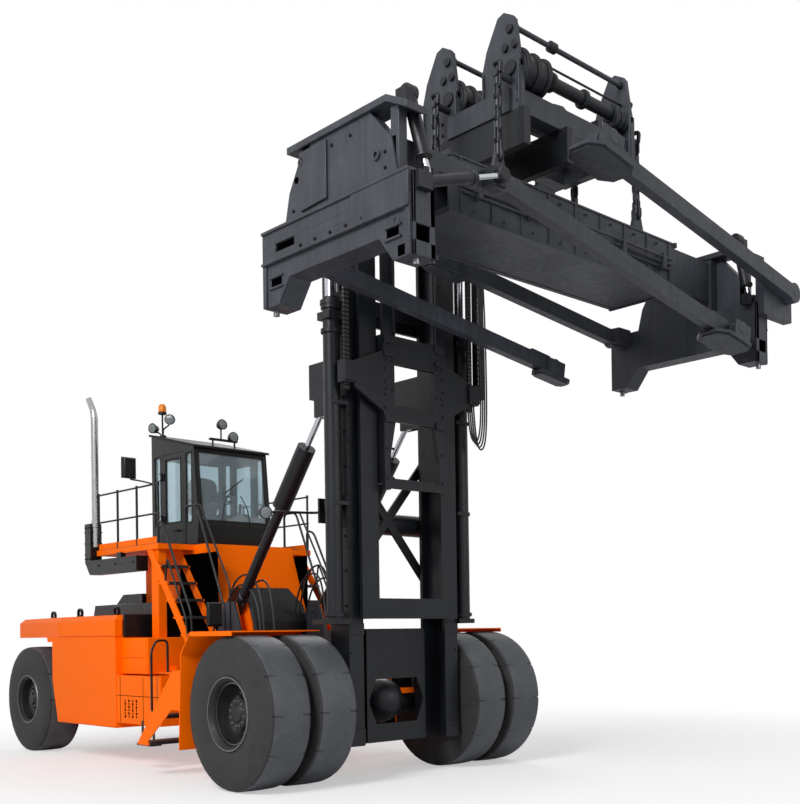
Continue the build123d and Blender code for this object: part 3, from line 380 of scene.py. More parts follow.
def bent_tube(route, radius, bend=0.08, sides=14):
    """A tube along straight runs: each corner becomes a quadratic curve from a bend's length before it to one
    after it, and rings are carried along with the least turning."""
    route = np.asarray(route, float)
    line = [route[0]]
    for before, corner, after in zip(route, route[1:], route[2:]):
        back, on = before - corner, after - corner
        cut = min(bend, 0.49 * np.linalg.norm(back), 0.49 * np.linalg.norm(on))
        back, on = corner + back * cut / np.linalg.norm(back), corner + on * cut / np.linalg.norm(on)
        t = np.linspace(0.0, 1.0, 8)[:, None]
        line.extend((1 - t) ** 2 * back + 2 * t * (1 - t) * corner + t ** 2 * on)
    line = np.array(line + [route[-1]])
    ahead = np.gradient(line, axis=0)
    ahead /= np.linalg.norm(ahead, axis=1)[:, None]
    side = np.cross(ahead[0], [0.0, 0.0, 1.0] if abs(ahead[0, 2]) < 0.9 else [1.0, 0.0, 0.0])
    rings = []
    turn = np.linspace(0.0, 2 * math.pi, sides, endpoint=False)[:, None]
    for place, along in zip(line, ahead):
        side = side - along * side.dot(along)
        side /= np.linalg.norm(side)
        rings.append(place + radius * (np.cos(turn) * side + np.sin(turn) * np.cross(along, side)))
    faces = list(grid_faces(len(line), sides))
    ends = [np.arange(sides)[::-1], (len(line) - 1) * sides + np.arange(sides)]
    return np.vstack(rings), faces + ends


def bolt_heads(places, direction, across=0.030, height=0.018):
    """Hexagon heads, each a six-sided turned form with a broken edge, on round washers."""
    r = across / 2
    head = turned([(0.003, r), (height - 0.003, r), (height, r * 0.85)], (0.0, 0.0, 0.0), 2, 6)
    washer = turned([(0.0, r * 1.3), (0.003, r * 1.3)], (0.0, 0.0, 0.0), 2, 12)
    return [aimed(part, direction, place) for place in places for part in (head, washer)]


# Tyres: slick industrial tyres of cast rubber on a steel band, twins on the drive axle. The
# tread is nearly flat, with a rounded shoulder, short notches along both and a mould line.
def tyre_profile(width, radius, bore):
    """Half widths and radii from the bead up the bulged wall, over the shoulder and across the tread."""
    half, wall = width / 2, radius - bore
    turn = np.linspace(-0.42 * math.pi, 0.36 * math.pi, 15)
    bulge = np.column_stack([half * (0.83 + 0.17 * np.cos(turn)),
                             bore + wall * (0.44 + 0.50 * np.sin(turn) / math.sin(0.42 * math.pi))])
    shoulder = np.array([(half * 0.895, bore + wall * 0.935), (half * 0.868, bore + wall * 0.957),
                         (half * 0.845, bore + wall * 0.960), (half * 0.80, bore + wall * 0.975),
                         (half * 0.70, bore + wall * 0.990), (half * 0.45, radius - 0.002),
                         (half * 0.2, radius), (0.0, radius)])
    bead = np.array([(half * 0.80, bore - 0.004), (half * 0.84, bore + wall * 0.01)])
    side = np.vstack([bead, bulge[bulge[:, 1] > bore + wall * 0.03], shoulder])
    return np.vstack([side * (1, 1), (side[:-1] * (-1, 1))[::-1]])


def tyre(width, radius, bore, centre, notches, notch_side, flat=0.006):
    """The profile turned, slightly larger than the wheel's height above the ground and flattened there;
    short notches sink the shoulder points at even steps."""
    sides = 360
    points, faces = turned(tyre_profile(width, radius + flat, bore), (0.0, 0.0, 0.0), 0, sides)
    faces = faces[:-2]
    profile_rows = len(points) // sides
    shaped = points.reshape(profile_rows, sides, 3)
    distance = np.hypot(shaped[..., 1], shaped[..., 2])
    step = sides // notches
    cut = (np.arange(sides) % step) < 1
    share = shaped[..., 0] / (width / 2)
    for side in notch_side:
        band = (share * side > 0.62) & (share * side < 0.93) & (distance > radius * 0.93)
        sunk = np.where(band & cut[None, :], 1.0 - 0.020 / np.maximum(distance, 0.1), 1.0)
        shaped[..., 1:] *= sunk[..., None]
    shaped[..., 2] = np.maximum(shaped[..., 2], -radius)
    return shaped.reshape(-1, 3) + centre, faces


def tyre_rubber(name, colour, scuffed, rough):
    """Rubber with scuffs a few centimetres wide, and a coarser tone over the whole tyre."""
    material, tree = new_material(name)
    place = place_in(tree)
    wear, scuff = noise(tree, place, 3.0, 8.0, 0.65), noise(tree, place, 45.0, 6.0, 0.7)
    tint = two_tones(tree, ranged(tree, combined(tree, wear, scuff), 0.15, 0.42), colour, scuffed)
    dull = ranged(tree, scuff, 0.0, 1.0, rough - 0.1, rough + 0.1)
    bump = relief(tree, scuff, 0.12, 0.004)
    surfaced(tree, {"Base Color": tint, "Roughness": dull, "Normal": bump, "Specular IOR Level": 0.35})
    return material


wall_rubber = tyre_rubber("cast_rubber_wall", "#232324", "#343435", 0.72)
tread_rubber = tyre_rubber("worn_rubber_tread", "#3E4044", "#525459", 0.55)


def tyre_piece(name, tyres, body, width, centres):
    """Both rubbers on one mesh: a face takes the tread's where it lies well inside its own tyre's width."""
    made = piece(name, tyres, wall_rubber, body, smooth=25.0)
    made.data.materials.append(tread_rubber)
    middles = np.empty(len(made.data.polygons) * 3)
    made.data.polygons.foreach_get("center", middles)
    across = np.abs(middles.reshape(-1, 3)[:, :1] - zero[0] - np.array(centres)[None, :]).min(axis=1)
    made.data.polygons.foreach_set("material_index", (across < 0.41 * width).astype(np.int32))
    return made


side_of = {"left": 1, "right": -1}
outer_twin, inner_twin, drive_width, drive_radius, drive_bore = 1.89, 1.24, 0.58, 0.905, 0.413
steered_x, steered_width, steered_radius, steered_bore, steered_y = 1.455, 0.56, 0.835, 0.368, 6.76
notches = 12
for side, s in side_of.items():
    twins = [tyre(drive_width, drive_radius, drive_bore, (s * x, 0.0, drive_radius), notches, (1, -1))
             for x in (outer_twin, inner_twin)]
    made = tyre_piece(f"twin_tyres_{side}", twins, f"drive_wheel_{side}", drive_width,
                      (s * outer_twin, s * inner_twin))
    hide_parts(f"drive_tyres_{side}")
    single = [tyre(steered_width, steered_radius, steered_bore, (s * steered_x, steered_y, steered_radius),
                   notches, (1, -1))]
    steered = tyre_piece(f"steered_tyre_{side}", single, f"steer_wheel_{side}", steered_width,
                         (s * steered_x,))
    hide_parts(f"steer_tyre_{side}")


# Wheels: pressed and welded steel rims with a rolled flange, a dished disc, studs with nuts
# and a bolted hub. The flanges are rubbed bright by the tyres' beads.
flange_steel = bright_metal("rubbed_flange", "#8C8A86", 0.38, "#5E5B57", (14.0, 14.0, 14.0))
hub_grey = enamel("hub_grey", "#5E5F61", "#7C7A75", 0.5, 0.5)


def dished(profile, middle, centre, s):
    """A profile that looks outwards from the middle of a wheel, turned about its axle on either side."""
    return turned([(s * (middle + distance), radius) for distance, radius in profile], (0.0, *centre), 0, 72)


def ring_of_nuts(count, radius, x, centre, s, across):
    """Nuts at even steps round a wheel's centre, at a distance x to either side of the truck."""
    turn = np.arange(count) * 2 * math.pi / count + 0.2
    places = [(s * x, centre[0] + radius * math.cos(a), centre[1] + radius * math.sin(a)) for a in turn]
    return bolt_heads(places, (s, 0.0, 0.0), across, across * 0.8)


def wheel_pieces(kind, side, dish, middle, centre, loops, nut_rings):
    """Dish, rubbed flange rings and nuts of one wheel, on its own body."""
    s, body = side_of[side], f"{kind}_wheel_{side}"
    piece(f"{kind}_dish_{side}", [dished(dish, middle, centre, s)], rim_black, body)
    rings = [turned([(s * (middle + d), r) for d, r in loop], (0.0, *centre), 0, 72, closed=True)
             for loop in loops]
    piece(f"{kind}_flange_{side}", rings, flange_steel, body)
    nuts = [part for count, radius, x, across in nut_rings
            for part in ring_of_nuts(count, radius, x, centre, s, across)]
    piece(f"{kind}_nuts_{side}", nuts, hub_grey, body)


drive_dish = [(-0.03, 0.05), (-0.03, 0.392), (0.225, 0.392), (0.245, 0.412), (0.262, 0.436), (0.276, 0.438),
              (0.284, 0.430), (0.284, 0.415), (0.262, 0.392), (0.240, 0.374), (0.205, 0.366), (0.200, 0.350),
              (0.09, 0.335), (0.03, 0.305), (0.014, 0.285), (0.014, 0.215), (0.022, 0.195), (0.13, 0.188),
              (0.145, 0.17), (0.147, 0.11), (0.165, 0.09), (0.168, 0.04)]
steer_dish = [(0.105, 0.04), (0.105, 0.097), (0.03, 0.100), (0.03, 0.345), (0.222, 0.345), (0.235, 0.372),
              (0.250, 0.392), (0.266, 0.394), (0.274, 0.386), (0.274, 0.372), (0.250, 0.347), (0.232, 0.330),
              (0.12, 0.318), (0.095, 0.292), (0.088, 0.282), (0.088, 0.195), (0.095, 0.158), (0.165, 0.150),
              (0.180, 0.135), (0.182, 0.10), (0.21, 0.085), (0.215, 0.04)]
drive_loops = [((0.270, 0.425), (0.270, 0.4395), (0.2865, 0.4335), (0.2865, 0.418)),
               ((0.205, 0.35), (0.205, 0.364), (0.214, 0.362), (0.214, 0.352))]
steer_loops = [((0.262, 0.380), (0.262, 0.3955), (0.276, 0.389), (0.276, 0.374)),
               ((0.086, 0.19), (0.086, 0.288), (0.096, 0.284), (0.096, 0.194))]
drive_nuts = [(20, 0.248, 1.904, 0.036), (12, 0.15, 2.036, 0.022)]
steer_nuts = [(18, 0.240, 1.551, 0.034), (8, 0.118, 1.637, 0.020)]
for side in side_of:
    wheel_pieces("drive", side, drive_dish, outer_twin, (0.0, drive_radius), drive_loops, drive_nuts)
    wheel_pieces("steer", side, steer_dish, steered_x, (steered_y, steered_radius), steer_loops, steer_nuts)


# Exhaust: a polished stack with a bent tip, in a black heat shield whose long foot lies
# under the deck.
stack_line = [(-1.30, 5.17, 3.20), (-1.30, 5.17, 5.28), (-1.30, 5.33, 5.50)]
stack = [bent_tube(stack_line, 0.053, 0.22, 32), bar((-1.30, 5.17, 3.50), (-1.30, 5.17, 3.62), 0.062, 32)]
stack_piece = piece("exhaust_stack", stack, polished_pipe, "chassis", smooth=40.0)
shield = [prism([(5.165, 3.56), (5.355, 3.56), (5.355, 2.96), (5.20, 2.77), (3.70, 2.77), (3.70, 2.99),
                 (5.165, 2.99)], (-1.39, -1.21)), slab((-1.34, -1.26), (4.28, 4.42), (2.98, 3.07)),
          slab((-1.32, -1.28), (5.14, 5.20), (3.06, 3.30))]
for z in (3.08, 3.25, 3.42):
    shield.append(slab((-1.396, -1.204), (5.15, 5.362), (z, z + 0.02)))
bolt_places = [(-1.39, y, z) for y in (5.20, 5.32) for z in (3.02, 3.5)]
bolt_places += [(-1.39, y, 2.9) for y in (3.8, 4.35, 4.9)]
shield += bolt_heads(bolt_places, (-1, 0, 0), 0.024)
shield_piece = piece("exhaust_shield", shield, cab_black, "chassis", bevel=0.006)
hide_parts("exhaust")


# Cab glass: laminated sheets a few millimetres thick, pale blue-grey in the mass, set in
# black rubber strip. The door panes ride on the doors.
tinted_glass, tree = new_material("tinted_laminated_glass")
surfaced(tree, {"Base Color": linear("#D3E4EA"), "Roughness": 0.02, "IOR": 1.45, "Transmission Weight": 0.84})
glazing_strip = enamel("glazing_rubber", "#08080A", "#151517", 0.6, 0.4)


def windscreen_y(z):
    """The sloped front's outer face: it leans back 120 mm over 1.18 m above the belt."""
    return 3.30 + 0.12 * max(z - 3.46, 0.0) / 1.18


front_pane = prism([(windscreen_y(z) + d, z)
                    for z, d in ((3.485, 0.014), (3.485, 0.021), (4.555, 0.021), (4.555, 0.014))],
                   (-0.565, 0.565))
rear_pane = slab((-0.535, 0.535), (4.655, 4.662), (3.605, 4.555))
side_panes = [slab((s * 0.594, s * 0.601), y, z) for s in (1, -1)
              for y, z in (((3.465, 3.665), (3.485, 4.555)), ((4.395, 4.605), (3.485, 4.585)))]
piece("cab_panes", [front_pane, rear_pane, *side_panes], tinted_glass, "chassis")


def frame_of(x, y, z, width):
    """Four strips round a pane that stands across x: two along y and two along z."""
    return [slab(x, y, (z[0], z[0] + width)), slab(x, y, (z[1] - width, z[1])),
            slab(x, (y[0], y[0] + width), z), slab(x, (y[1] - width, y[1]), z)]


for side, s in side_of.items():
    piece(f"door_pane_{side}", [slab((s * 0.594, s * 0.601), (3.785, 4.275), (3.515, 4.51))], tinted_glass,
          f"cab_door_{side}")
    strips = frame_of(sorted((s * 0.590, s * 0.6235)), (3.79, 4.27), (3.518, 4.506), 0.022)
    strips += [bar((s * 0.66, 3.83, 3.40), (s * 0.66, 3.97, 3.40), 0.011)]
    strips += [bar((s * 0.618, y, 3.40), (s * 0.663, y, 3.40), 0.010) for y in (3.84, 3.96)]
    piece(f"door_trim_{side}", strips, glazing_strip, f"cab_door_{side}", bevel=0.003)
trim = []
for s in (1, -1):
    trim += frame_of(sorted((s * 0.592, s * 0.6235)), (3.47, 3.66), (3.49, 4.55), 0.02)
    trim += frame_of(sorted((s * 0.592, s * 0.6235)), (4.40, 4.60), (3.49, 4.58), 0.02)
low, high = windscreen_y(3.49), windscreen_y(4.55)
for x in (-0.56, 0.54):
    trim.append(prism([(low - 0.004, 3.49), (low + 0.03, 3.49), (high + 0.03, 4.55), (high - 0.004, 4.55)],
                      (x, x + 0.02)))
trim += [slab((-0.56, 0.56), (low - 0.004, low + 0.03), (3.488, 3.508)),
         slab((-0.56, 0.56), (high - 0.004, high + 0.03), (4.53, 4.552))]
trim += [slab((-0.56, 0.56), (3.302, 3.345), (3.485, 3.53)),
         slab((-0.63, 0.63), (3.30, 4.69), (3.145, 3.175))]
trim += [prism([(3.36, 4.60), (3.36, 4.635), (4.72, 4.955), (4.72, 4.92)], (-0.645, 0.645))]
piece("cab_trim", trim, glazing_strip, "chassis", bevel=0.004)
wiper = [bar((-0.25, 3.288, 3.47), (-0.25, 3.34, 3.47), 0.016),
         bent_tube([(-0.25, 3.292, 3.47), (-0.18, 3.30, 3.80), (-0.02, 3.335, 4.06)], 0.007, 0.05),
         bar((-0.20, 3.318, 3.92), (0.16, 3.345, 4.18), 0.008)]
wiper += [bar((0.25, 3.288, 3.47), (0.25, 3.34, 3.47), 0.016),
          bent_tube([(0.25, 3.292, 3.47), (0.20, 3.30, 3.74), (0.10, 3.32, 3.92)], 0.007, 0.05)]
piece("windscreen_wipers", wiper, glazing_strip, "chassis")
console = [slab((0.28, 0.50), (3.72, 4.28), (3.62, 3.70)), slab((0.30, 0.48), (3.75, 4.2), (3.16, 3.64)),
           slab((-0.5, 0.5), (3.36, 3.50), (3.50, 3.62)), bar((0.38, 3.80, 3.69), (0.38, 3.78, 3.86), 0.022),
           bar((0.34, 3.90, 3.69), (0.34, 3.90, 3.80), 0.012)]
piece("operator_console", console, cab_black, "chassis", bevel=0.012)


# Lamps and beacon: die-cast bowls with clear lenses on bent stands, on the roof and beside
# the mast, and an amber dome on a pole.
lens_glass, tree = new_material("moulded_lamp_lens")
place = place_in(tree)
ribs = add_node(tree, "ShaderNodeTexWave", {"Vector": place, "Scale": 40.0})
bump = relief(tree, ribs.outputs["Fac"], 0.3, 0.003)
surfaced(tree, {"Base Color": linear("#7C8285"), "Roughness": 0.12, "Normal": bump,
                "Transmission Weight": 0.25})
amber_dome = enamel("amber_polycarbonate", "#E07A10", "#F09A30", 0.2, 0.3)
bowls, lenses = [], []


def work_lamp(place, aim, radius=0.075):
    """A bowl and its rim turned about the way it looks, with a slightly domed lens in it."""
    bowl = turned([(-0.10, radius * 0.35), (-0.085, radius * 0.62), (-0.04, radius * 0.92), (0.0, radius),
                   (0.012, radius * 1.06), (0.024, radius * 1.06), (0.026, radius * 0.94),
                   (0.016, radius * 0.90)], (0.0, 0.0, 0.0), 2, 32)
    lenses.append(aimed(turned([(0.010, radius * 0.91), (0.022, radius * 0.88), (0.028, radius * 0.55),
                                (0.030, radius * 0.1)], (0.0, 0.0, 0.0), 2, 32), aim, place))
    bowls.append(aimed(bowl, aim, place))


for place, aim in (((-0.62, 4.10, 5.10), (-0.5, -0.85, 0.0)), ((-0.62, 4.62, 5.04), (-0.9, -0.3, 0.0)),
                   ((-0.11, 3.47, 5.0), (0, -1, 0.1)), ((0.08, 3.47, 4.83), (0, -1, 0.1)),
                   ((-1.69, -0.10, 3.26), (-0.2, -1, -0.1)), ((-0.71, 1.97, 2.36), (-0.3, -1, 0))):
    work_lamp(place, aim)
bowls += [bent_tube([(-0.57, 4.40, 4.86), (-0.57, 4.40, 5.00), (-0.62, 4.14, 5.02)], 0.012, 0.05),
          bent_tube([(-0.57, 4.44, 4.86), (-0.57, 4.50, 4.96), (-0.61, 4.62, 4.98)], 0.012, 0.05),
          bar((-0.57, 4.42, 4.86), (-0.57, 4.42, 5.25), 0.014),
          slab((-0.60, -0.54), (4.36, 4.48), (4.86, 4.905)),
          bar((-0.57, 4.42, 5.23), (-0.57, 4.42, 5.27), 0.066, 28),
          slab((-0.30, 0.16), (3.47, 3.53), (4.755, 4.785)),
          bar((-0.25, 3.50, 4.64), (-0.25, 3.50, 4.76), 0.014),
          bar((0.12, 3.50, 4.64), (0.12, 3.50, 4.76), 0.014),
          bar((-0.11, 3.50, 4.77), (-0.11, 3.50, 4.95), 0.012),
          bar((0.08, 3.50, 4.76), (0.08, 3.50, 4.80), 0.012),
          bar((-0.71, 1.99, 2.20), (-0.71, 1.99, 2.33), 0.014),
          slab((-1.05, -0.87), (-0.285, -0.255), (3.16, 3.46)),
          bent_tube([(-0.99, -0.27, 3.30), (-0.99, -0.12, 3.30), (-1.64, -0.10, 3.27)], 0.016, 0.05)]
piece("roof_lamp_bowls", [b for b in bowls if b[0][:, 1].min() > 1.0], cab_black, "chassis",
              bevel=0.002)
piece("mast_lamp_bowl", [b for b in bowls if b[0][:, 1].min() <= 1.0], cab_black, "outer_mast",
              bevel=0.002)
piece("roof_lamp_lenses", [b for b in lenses if b[0][:, 1].min() > 1.0], lens_glass, "chassis")
piece("mast_lamp_lens", [b for b in lenses if b[0][:, 1].min() <= 1.0], lens_glass, "outer_mast")
dome = turned([(5.268, 0.058), (5.30, 0.060), (5.36, 0.055), (5.385, 0.04), (5.395, 0.012)],
              (-0.57, 4.42, 0.0), 2, 32)
piece("beacon_dome", [dome], amber_dome, "chassis")


# Body: vent holes in the side panels, drawn as black discs of painted shade, and dark seams,
# an orange recess and lips along the sides, steps, grab loops, lifting eyes, covers at the tilt
# cylinders' feet, non-slip plates, and black sheets of painted shade inside the stairs.
# The five louvre slats lie inside the recess, out of sight.
def mirrored(parts):
    """The parts on the truck's other side, with their faces turned round again."""
    return [(points * (-1, 1, 1), [np.asarray(face)[::-1] for face in faces]) for points, faces in parts]


def both_sides(parts):
    """The parts and their mirror images."""
    return parts + mirrored(parts)


# Black discs in the panels stand for the vent holes: painted shade where the holes are.
holes, slats = [], []
for column, y in enumerate((3.15, 3.26, 3.37, 3.48)):
    for row in range(6):
        z = 0.70 + 0.044 * row
        r = 0.021 if (row + column) % 2 else 0.015
        holes.append(turned([(-1.6925, r), (-1.68, r)], (0.0, y, z), 0, 16))
for k in range(5):
    z = 1.06 + 0.033 * k
    slats.append(prism([(1.68, z), (1.694, z), (1.712, z - 0.016), (1.712, z - 0.020), (1.70, z - 0.012)],
                       (3.10, 3.50), 1))
holes += mirrored(slats)
seams = [slab((-1.6925, -1.688), (y, y + 0.008), (0.61, 1.262)) for y in (2.95, 3.62)]
seams += [slab((-1.6925, -1.688), (2.46, 3.735), (0.985, 0.992))]
piece("side_vent_shade_and_seams", both_sides(holes + seams), shade_and_seam_black, "chassis")
recess = [slab((-1.60, -0.72), (2.98, 3.745), (1.29, 1.80)),
          slab((-1.615, -1.59), (3.02, 3.70), (1.52, 1.545)),
          slab((-1.612, -1.59), (3.02, 3.06), (1.33, 1.78)),
          slab((-1.718, -1.69), (3.72, 5.60), (1.83, 2.058)),
          slab((-1.70, -1.60), (3.722, 3.745), (1.83, 2.058)),
          slab((-1.715, -1.69), (3.745, 5.62), (0.53, 0.56)),
          slab((-1.70, -1.685), (2.46, 2.50), (0.61, 1.262))]
piece("side_recess", both_sides(recess), orange_enamel, "chassis", bevel=0.008)
hood_side = [slab((-1.585, -0.80), (3.705, 3.742), (1.815, 2.14)),
             slab((-1.12, -0.80), (3.50, 3.735), (1.80, 2.30)),
             slab((-1.00, -0.785), (3.735, 5.60), (2.128, 2.32))]
piece("hood_sides", both_sides(hood_side), cab_black, "chassis", bevel=0.01)
step = [slab((-1.76, -1.60), (2.62, 3.02), (0.33, 0.36)), slab((-1.70, -1.685), (2.64, 2.69), (0.345, 0.66)),
        slab((-1.70, -1.685), (2.95, 3.00), (0.345, 0.66))]
piece("hanging_steps", both_sides(step), cab_black, "chassis", bevel=0.004)
eyes = []
for x, y in ((-1.50, 4.1), (-1.50, 5.3), (-1.1, 7.2)):
    eyes.append(aimed(turned([(-0.02, 0.055), (-0.02, 0.075), (0.02, 0.075), (0.02, 0.055)], (0.0, 0.0, 0.0),
                             2, 24, closed=True), (1.0, 0.0, 0.0), (x, y, 2.185)))
    eyes.append(slab((x - 0.04, x + 0.04), (y - 0.04, y + 0.04), (2.125, 2.145)))
piece("lifting_eyes", both_sides(eyes), black_enamel, "chassis", smooth=40.0)
grab = [bent_tube([(-1.69, 2.50, 0.80), (-1.80, 2.50, 0.80), (-1.80, 2.50, 1.62), (-1.66, 2.62, 1.76),
                   (-1.50, 2.62, 1.76), (-1.50, 2.62, 1.31)], 0.016, 0.07)]
piece("grab_loops", both_sides(grab), cab_black, "chassis")

plates = []
for k in range(1, 7):
    y, z = 2.13 + 1.37 * k / 7, 1.33 + 1.73 * k / 7
    plates.append(slab((0.851, 1.269), (y - 0.123, y + 0.123), (z - 0.018, z + 0.019)))
plates += [slab((1.575, 2.125), (y - 0.133, y + 0.153), (z - 0.023, z + 0.024))
           for y, z in ((1.42, 1.15), (1.70, 0.80), (2.08, 0.44))]
plates += [slab((0.74, 1.29), (3.24, 5.14), (3.139, 3.146)), slab((0.64, 1.55), (1.12, 2.6), (1.329, 1.336))]
foot_plan = [(1.862, 1.33), (2.448, 1.33), (2.448, 1.86), (2.40, 1.99), (2.27, 2.275), (2.02, 2.275),
             (1.90, 1.99), (1.862, 1.86)]
foot_covers = [prism(foot_plan, x) for x in ((0.562, 0.596), (0.804, 0.838))]
foot_covers += [slab((0.57, 0.83), y, (1.33, 1.87)) for y in ((1.858, 1.878), (2.432, 2.452))]
foot_covers += bolt_heads([(0.838, y, z) for y in (1.92, 2.39) for z in (1.42, 1.78)], (1, 0, 0), 0.034)
foot_covers += bolt_heads([(0.562, 2.155, 2.17)], (-1, 0, 0), 0.06)
piece("cylinder_foot_covers", both_sides(foot_covers), charcoal_enamel, "chassis", bevel=0.006)
non_slip, tree = new_material("pressed_non_slip_plate")
place = place_in(tree)
studs = add_node(tree, "ShaderNodeTexVoronoi", {"Vector": place, "Scale": 34.0})
bump = relief(tree, studs.outputs["Distance"], 0.5, 0.004)
tint = two_tones(tree, studs.outputs["Distance"], "#2E2F31", "#121214")
surfaced(tree, {"Base Color": tint, "Roughness": 0.6, "Normal": bump})
piece("non_slip_plates", both_sides(plates), non_slip, "chassis", bevel=0.002)
# Flat black sheets inside the stairs: painted shade where the stairwell lies in shadow.
painted_shade = [prism([(2.20, 1.34), (3.40, 1.34), (3.40, 2.95), (3.36, 2.95)], (0.80, 0.815)),
           slab((0.75, 0.76), (2.55, 3.6), (1.40, 3.0))]
piece("stair_painted_shade", both_sides(painted_shade), shade_and_seam_black, "chassis")


# Rails: bent tube along both sides of each stair, orange kick plates on the deck, and the
# outside mirrors on their arms.
rails = [bent_tube([(1.283, 2.33, 1.60), (1.283, 2.36, 2.12), (1.283, 3.12, 3.42), (1.27, 3.28, 3.46),
                    (1.27, 3.28, 3.10)], 0.017, 0.09),
         bent_tube([(1.283, 2.46, 1.78), (1.283, 2.50, 2.05), (1.283, 3.00, 2.92), (1.283, 3.06, 2.60)],
                   0.014, 0.07),
         bent_tube([(0.842, 2.24, 1.48), (0.842, 2.24, 2.18), (0.842, 2.96, 3.69), (0.842, 3.27, 3.69),
                    (0.842, 3.27, 3.10)], 0.017, 0.09),
         bent_tube([(0.842, 2.10, 1.36), (0.842, 2.10, 2.50), (0.842, 2.86, 3.69), (0.842, 3.00, 3.69)],
                   0.014, 0.09)]
piece("stair_rails", both_sides(rails), cab_black, "chassis")
kick = [slab((1.262, 1.278), (3.26, 5.12), (3.13, 3.24))]
piece("kick_plates", both_sides(kick), orange_enamel, "chassis", bevel=0.003)
mirror_glass = bright_metal("silvered_mirror", "#AEB4B8", 0.08, "#A2A8AC", (4.0, 4.0, 4.0))


def mirror_shell(x, y, z, depth=0.05):
    """A moulded mirror housing: a rounded shell drawn in toward its back."""
    points, faces = slab(x, (y - depth, y), z)
    points = points.copy()
    middle = np.array([sum(x) / 2, y, sum(z) / 2])
    front = points[:, 1] < y - depth / 2
    points[front] = middle + (points[front] - middle) * (0.82, 1.0, 0.86)
    return points, faces


upper_arm = [(-1.27, 3.38, 3.99), (-1.30, 3.67, 4.06), (-1.33, 3.98, 4.12), (-1.33, 3.99, 4.22)]
lower_arm = [(-1.15, 2.03, 1.33), (-1.15, 2.03, 1.84), (-1.15, 1.985, 1.96)]
mirrors = [mirror_shell((-1.43, -1.23), 4.02, (4.13, 4.45)), bent_tube(upper_arm, 0.012, 0.06),
           mirror_shell((-1.27, -1.03), 2.0, (1.93, 2.27)), bent_tube(lower_arm, 0.014, 0.06)]
piece("outside_mirrors", mirrors, cab_black, "chassis", bevel=0.014)
mirror_panes = [slab((-1.445, -1.215), (4.019, 4.023), (4.135, 4.445)),
                slab((-1.255, -1.045), (1.999, 2.003), (1.945, 2.255))]
piece("mirror_panes", mirror_panes, mirror_glass, "chassis", bevel=0.001)


# Axle case: a round cast cover with a bolted flange, seen through the mast's lower plate,
# with an orange bracket beside it, and behind it a flat black sheet of painted shade.
case_profile = [(0.06, 0.29), (0.0, 0.30), (-0.03, 0.315), (-0.055, 0.315), (-0.06, 0.292), (-0.13, 0.286),
                (-0.20, 0.268), (-0.27, 0.236), (-0.33, 0.190), (-0.375, 0.134), (-0.402, 0.075),
                (-0.414, 0.015)]
case_z, bolt_circle = 0.955, 0.30
case = [turned(case_profile, (0.0, 0.0, case_z), 1, 48)]
turn = np.arange(16) * math.pi / 8
case += bolt_heads([(bolt_circle * math.cos(a), -0.055, case_z + bolt_circle * math.sin(a)) for a in turn],
                   (0, -1, 0), 0.028)
piece("axle_case", case, black_enamel, "chassis", smooth=50.0)
bracket = [slab((0.06, 0.47), (-0.22, -0.10), (1.03, 1.10)), slab((0.02, 0.14), (-0.16, -0.04), (1.09, 1.25))]
# A flat black sheet behind the axle case: painted shade in the frame.
piece("axle_painted_shade", [slab((-0.575, 0.575), (0.312, 0.328), (0.565, 1.37))], shade_and_seam_black, "chassis")
piece("axle_bracket", bracket, orange_enamel, "chassis", bevel=0.005)


# Mast: leaf chains, rows of bolts and cover plates on the channels and the carriage, collars
# and glands on the lift cylinders, a hose track, and rubber hoses that hang in a loop.
link_steel, tree = new_material("leaf_chain_links")
place = place_in(tree)
links = add_node(tree, "ShaderNodeTexWave", {"Vector": place, "Scale": 6.2}, bands_direction="Z",
                 wave_profile="SIN")
leaves = add_node(tree, "ShaderNodeTexWave", {"Vector": place, "Scale": 26.0}, bands_direction="X",
                  wave_profile="SAW")
# The links' tone follows the same waves as their bump: dark in the gaps between links and leaves and light on
# the crests. The dark gaps are painted shade.
both = combined(tree, links.outputs["Fac"], leaves.outputs["Fac"])
tint = two_tones(tree, both, "#0C0C0D", "#4A4A4C")
bump = relief(tree, both, 0.8, 0.01)
surfaced(tree, {"Base Color": tint, "Roughness": 0.45, "Metallic": 0.6, "Normal": bump})
coat("lift_chains", link_steel)

cylinder_x, cylinder_y = 1.04, -0.56
fixings, covers = [], []
for z in np.arange(0.62, 5.9, 0.32):
    fixings += bolt_heads([(0.845, -0.62, z)], (0, -1, 0), 0.026)
for z in np.arange(2.15, 5.9, 0.42):
    fixings += bolt_heads([(0.88, -0.56, z), (0.88, -0.32, z)], (1, 0, 0), 0.026)
covers += [slab((0.66, 0.884), (-0.632, -0.612), z) for z in ((0.46, 0.66), (1.80, 1.94), (5.62, 5.95))]
covers += [slab((0.878, 0.896), (-0.61, -0.27), z) for z in ((0.50, 1.30), (3.1, 3.5), (5.5, 5.95))]
covers += [slab((0.88, 1.10), (-0.67, -0.46), (z, z + 0.05)) for z in (3.35, 4.55)]
covers += [turned([(z, 0.101), (z, 0.125), (z + 0.05, 0.125), (z + 0.05, 0.101)],
                  (cylinder_x, cylinder_y, 0.0), 2, 36, closed=True) for z in (2.02, 5.40)]
covers += [turned([(5.735, 0.071), (5.735, 0.13), (5.79, 0.13), (5.80, 0.10), (5.83, 0.098), (5.83, 0.071)],
                  (cylinder_x, cylinder_y, 0.0), 2, 36, closed=True)]
covers += [turned([(0.62, 0.14), (0.70, 0.14), (0.76, 0.12), (0.79, 0.07), (0.80, 0.02)], (0.0, -0.12, 3.22),
                  0, 36)]
piece("mast_fixings", both_sides(fixings), black_enamel, "outer_mast")
piece("mast_covers", both_sides(covers), black_enamel, "outer_mast", bevel=0.004)
